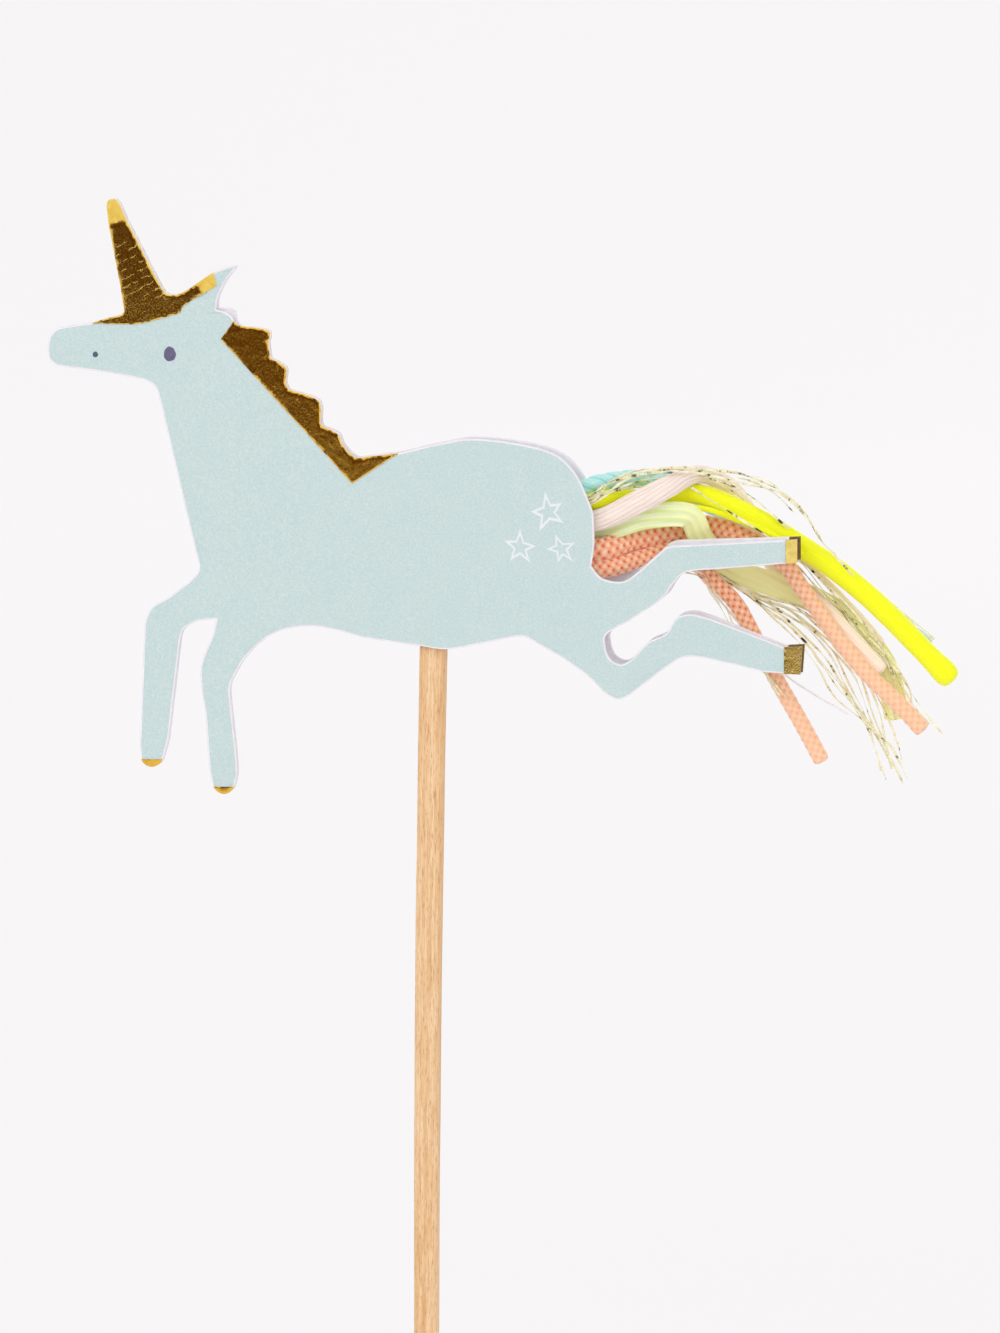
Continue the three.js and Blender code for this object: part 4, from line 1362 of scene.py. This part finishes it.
def paper():
    """Paper that keeps the shadows. Most of what the camera sees of it is an even glow."""
    material, tree, shader = new_material("paper", 0.9, Specular_IOR_Level=0.0)
    shader.inputs["Base Color"].default_value = srgb("#f4f3f5")
    path = add(tree, "ShaderNodeLightPath")
    rays = [path.outputs[f"Is {kind} Ray"] for kind in ("Camera", "Glossy", "Transmission")]
    share = product(tree, chain(tree, "MAXIMUM", *rays), PAPER_GLOW)
    glow = add(tree, "ShaderNodeEmission", {"Color": srgb(PAPER), "Strength": 1.0}).outputs[0]
    mixed = add(tree, "ShaderNodeMixShader", {0: share, 1: shader.outputs["BSDF"], 2: glow})
    tree.links.new(mixed.outputs[0], tree.nodes["Material Output"].inputs["Surface"])
    return material


def floor_and_backdrop():
    steps = 12
    cove = [(FLOOR_FRONT, 0.0), (BACKDROP_Y - COVE_RADIUS, 0.0)]
    for k in range(1, steps):
        angle = math.pi / 2 * k / steps
        cove.append((BACKDROP_Y - COVE_RADIUS + COVE_RADIUS * math.sin(angle),
                     COVE_RADIUS - COVE_RADIUS * math.cos(angle)))
    cove += [(BACKDROP_Y, COVE_RADIUS), (BACKDROP_Y, BACKDROP_TOP)]
    bm = bmesh.new()
    verts = [bm.verts.new((-STAGE_HALF_WIDTH, y, z)) for y, z in cove]
    edges = [bm.edges.new(pair) for pair in zip(verts, verts[1:])]
    extruded = bmesh.ops.extrude_edge_only(bm, edges=edges)["geom"]
    moved = [item for item in extruded if isinstance(item, bmesh.types.BMVert)]
    bmesh.ops.translate(bm, vec=(2 * STAGE_HALF_WIDTH, 0, 0), verts=moved)
    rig.stage(finish_piece("floor_and_backdrop", bm, [paper()], Matrix.Identity(4)))


def lamp(name, place, size, power):
    """A square lamp that points at the cards. It isn't seen in what shines."""
    data = bpy.data.lights.new(name, "AREA")
    data.size = size
    data.energy = power
    obj = bpy.data.objects.new(name, data)
    obj.visible_glossy = False
    direction = LAMP_AIM - Vector(place)
    obj.matrix_world = Matrix.Translation(place) @ direction.to_track_quat("-Z", "Y").to_matrix().to_4x4()
    bpy.context.scene.collection.objects.link(obj)


def sky():
    """An even pale sky. What shines sees a dim warm patch in front of the cards."""
    world = bpy.data.worlds.new("sky")
    bpy.context.scene.world = world
    world.use_nodes = True
    tree = world.node_tree
    background = tree.nodes["Background"]
    path = add(tree, "ShaderNodeLightPath")
    direction = add(tree, "ShaderNodeTexCoord").outputs["Generated"]
    front = Vector((-0.2, -0.974, -0.1)).normalized()
    facing = add(tree, "ShaderNodeVectorMath", {0: direction, 1: front}, operation="DOT_PRODUCT")
    room = ramp(tree, facing.outputs["Value"], [
        (0.0, (1.1, 1.18, 1.28)), (0.85, (1.0, 1.02, 1.05)), (0.89, (0.55, 0.45, 0.32)),
        (0.93, (0.18, 0.1, 0.035)), (0.965, (0.115, 0.056, 0.018)), (1.0, (0.097, 0.046, 0.014))])
    seen = mix(tree, path.outputs["Is Glossy Ray"], (0.66, 0.66, 0.67, 1.0), room)
    final = mix(tree, path.outputs["Is Camera Ray"], seen, srgb(PAPER))
    tree.links.new(final, background.inputs["Color"])
    background.inputs["Strength"].default_value = 1.0


floor_and_backdrop()
lamp("key_lamp", (-0.55, -0.95, 0.85), 1.1, 6.3)
lamp("side_lamp", (0.9, -0.8, 0.5), 0.9, 2.6)
lamp("back_lamp", (0.3, 1.1, 0.7), 1.0, 5.0)
sky()
bpy.context.scene.view_settings.view_transform = "Standard"

with open("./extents.json", "w") as report:
    boxes = [[list(corner) for corner in box] for box in (cad_box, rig.bounds())]
    json.dump(boxes, report)
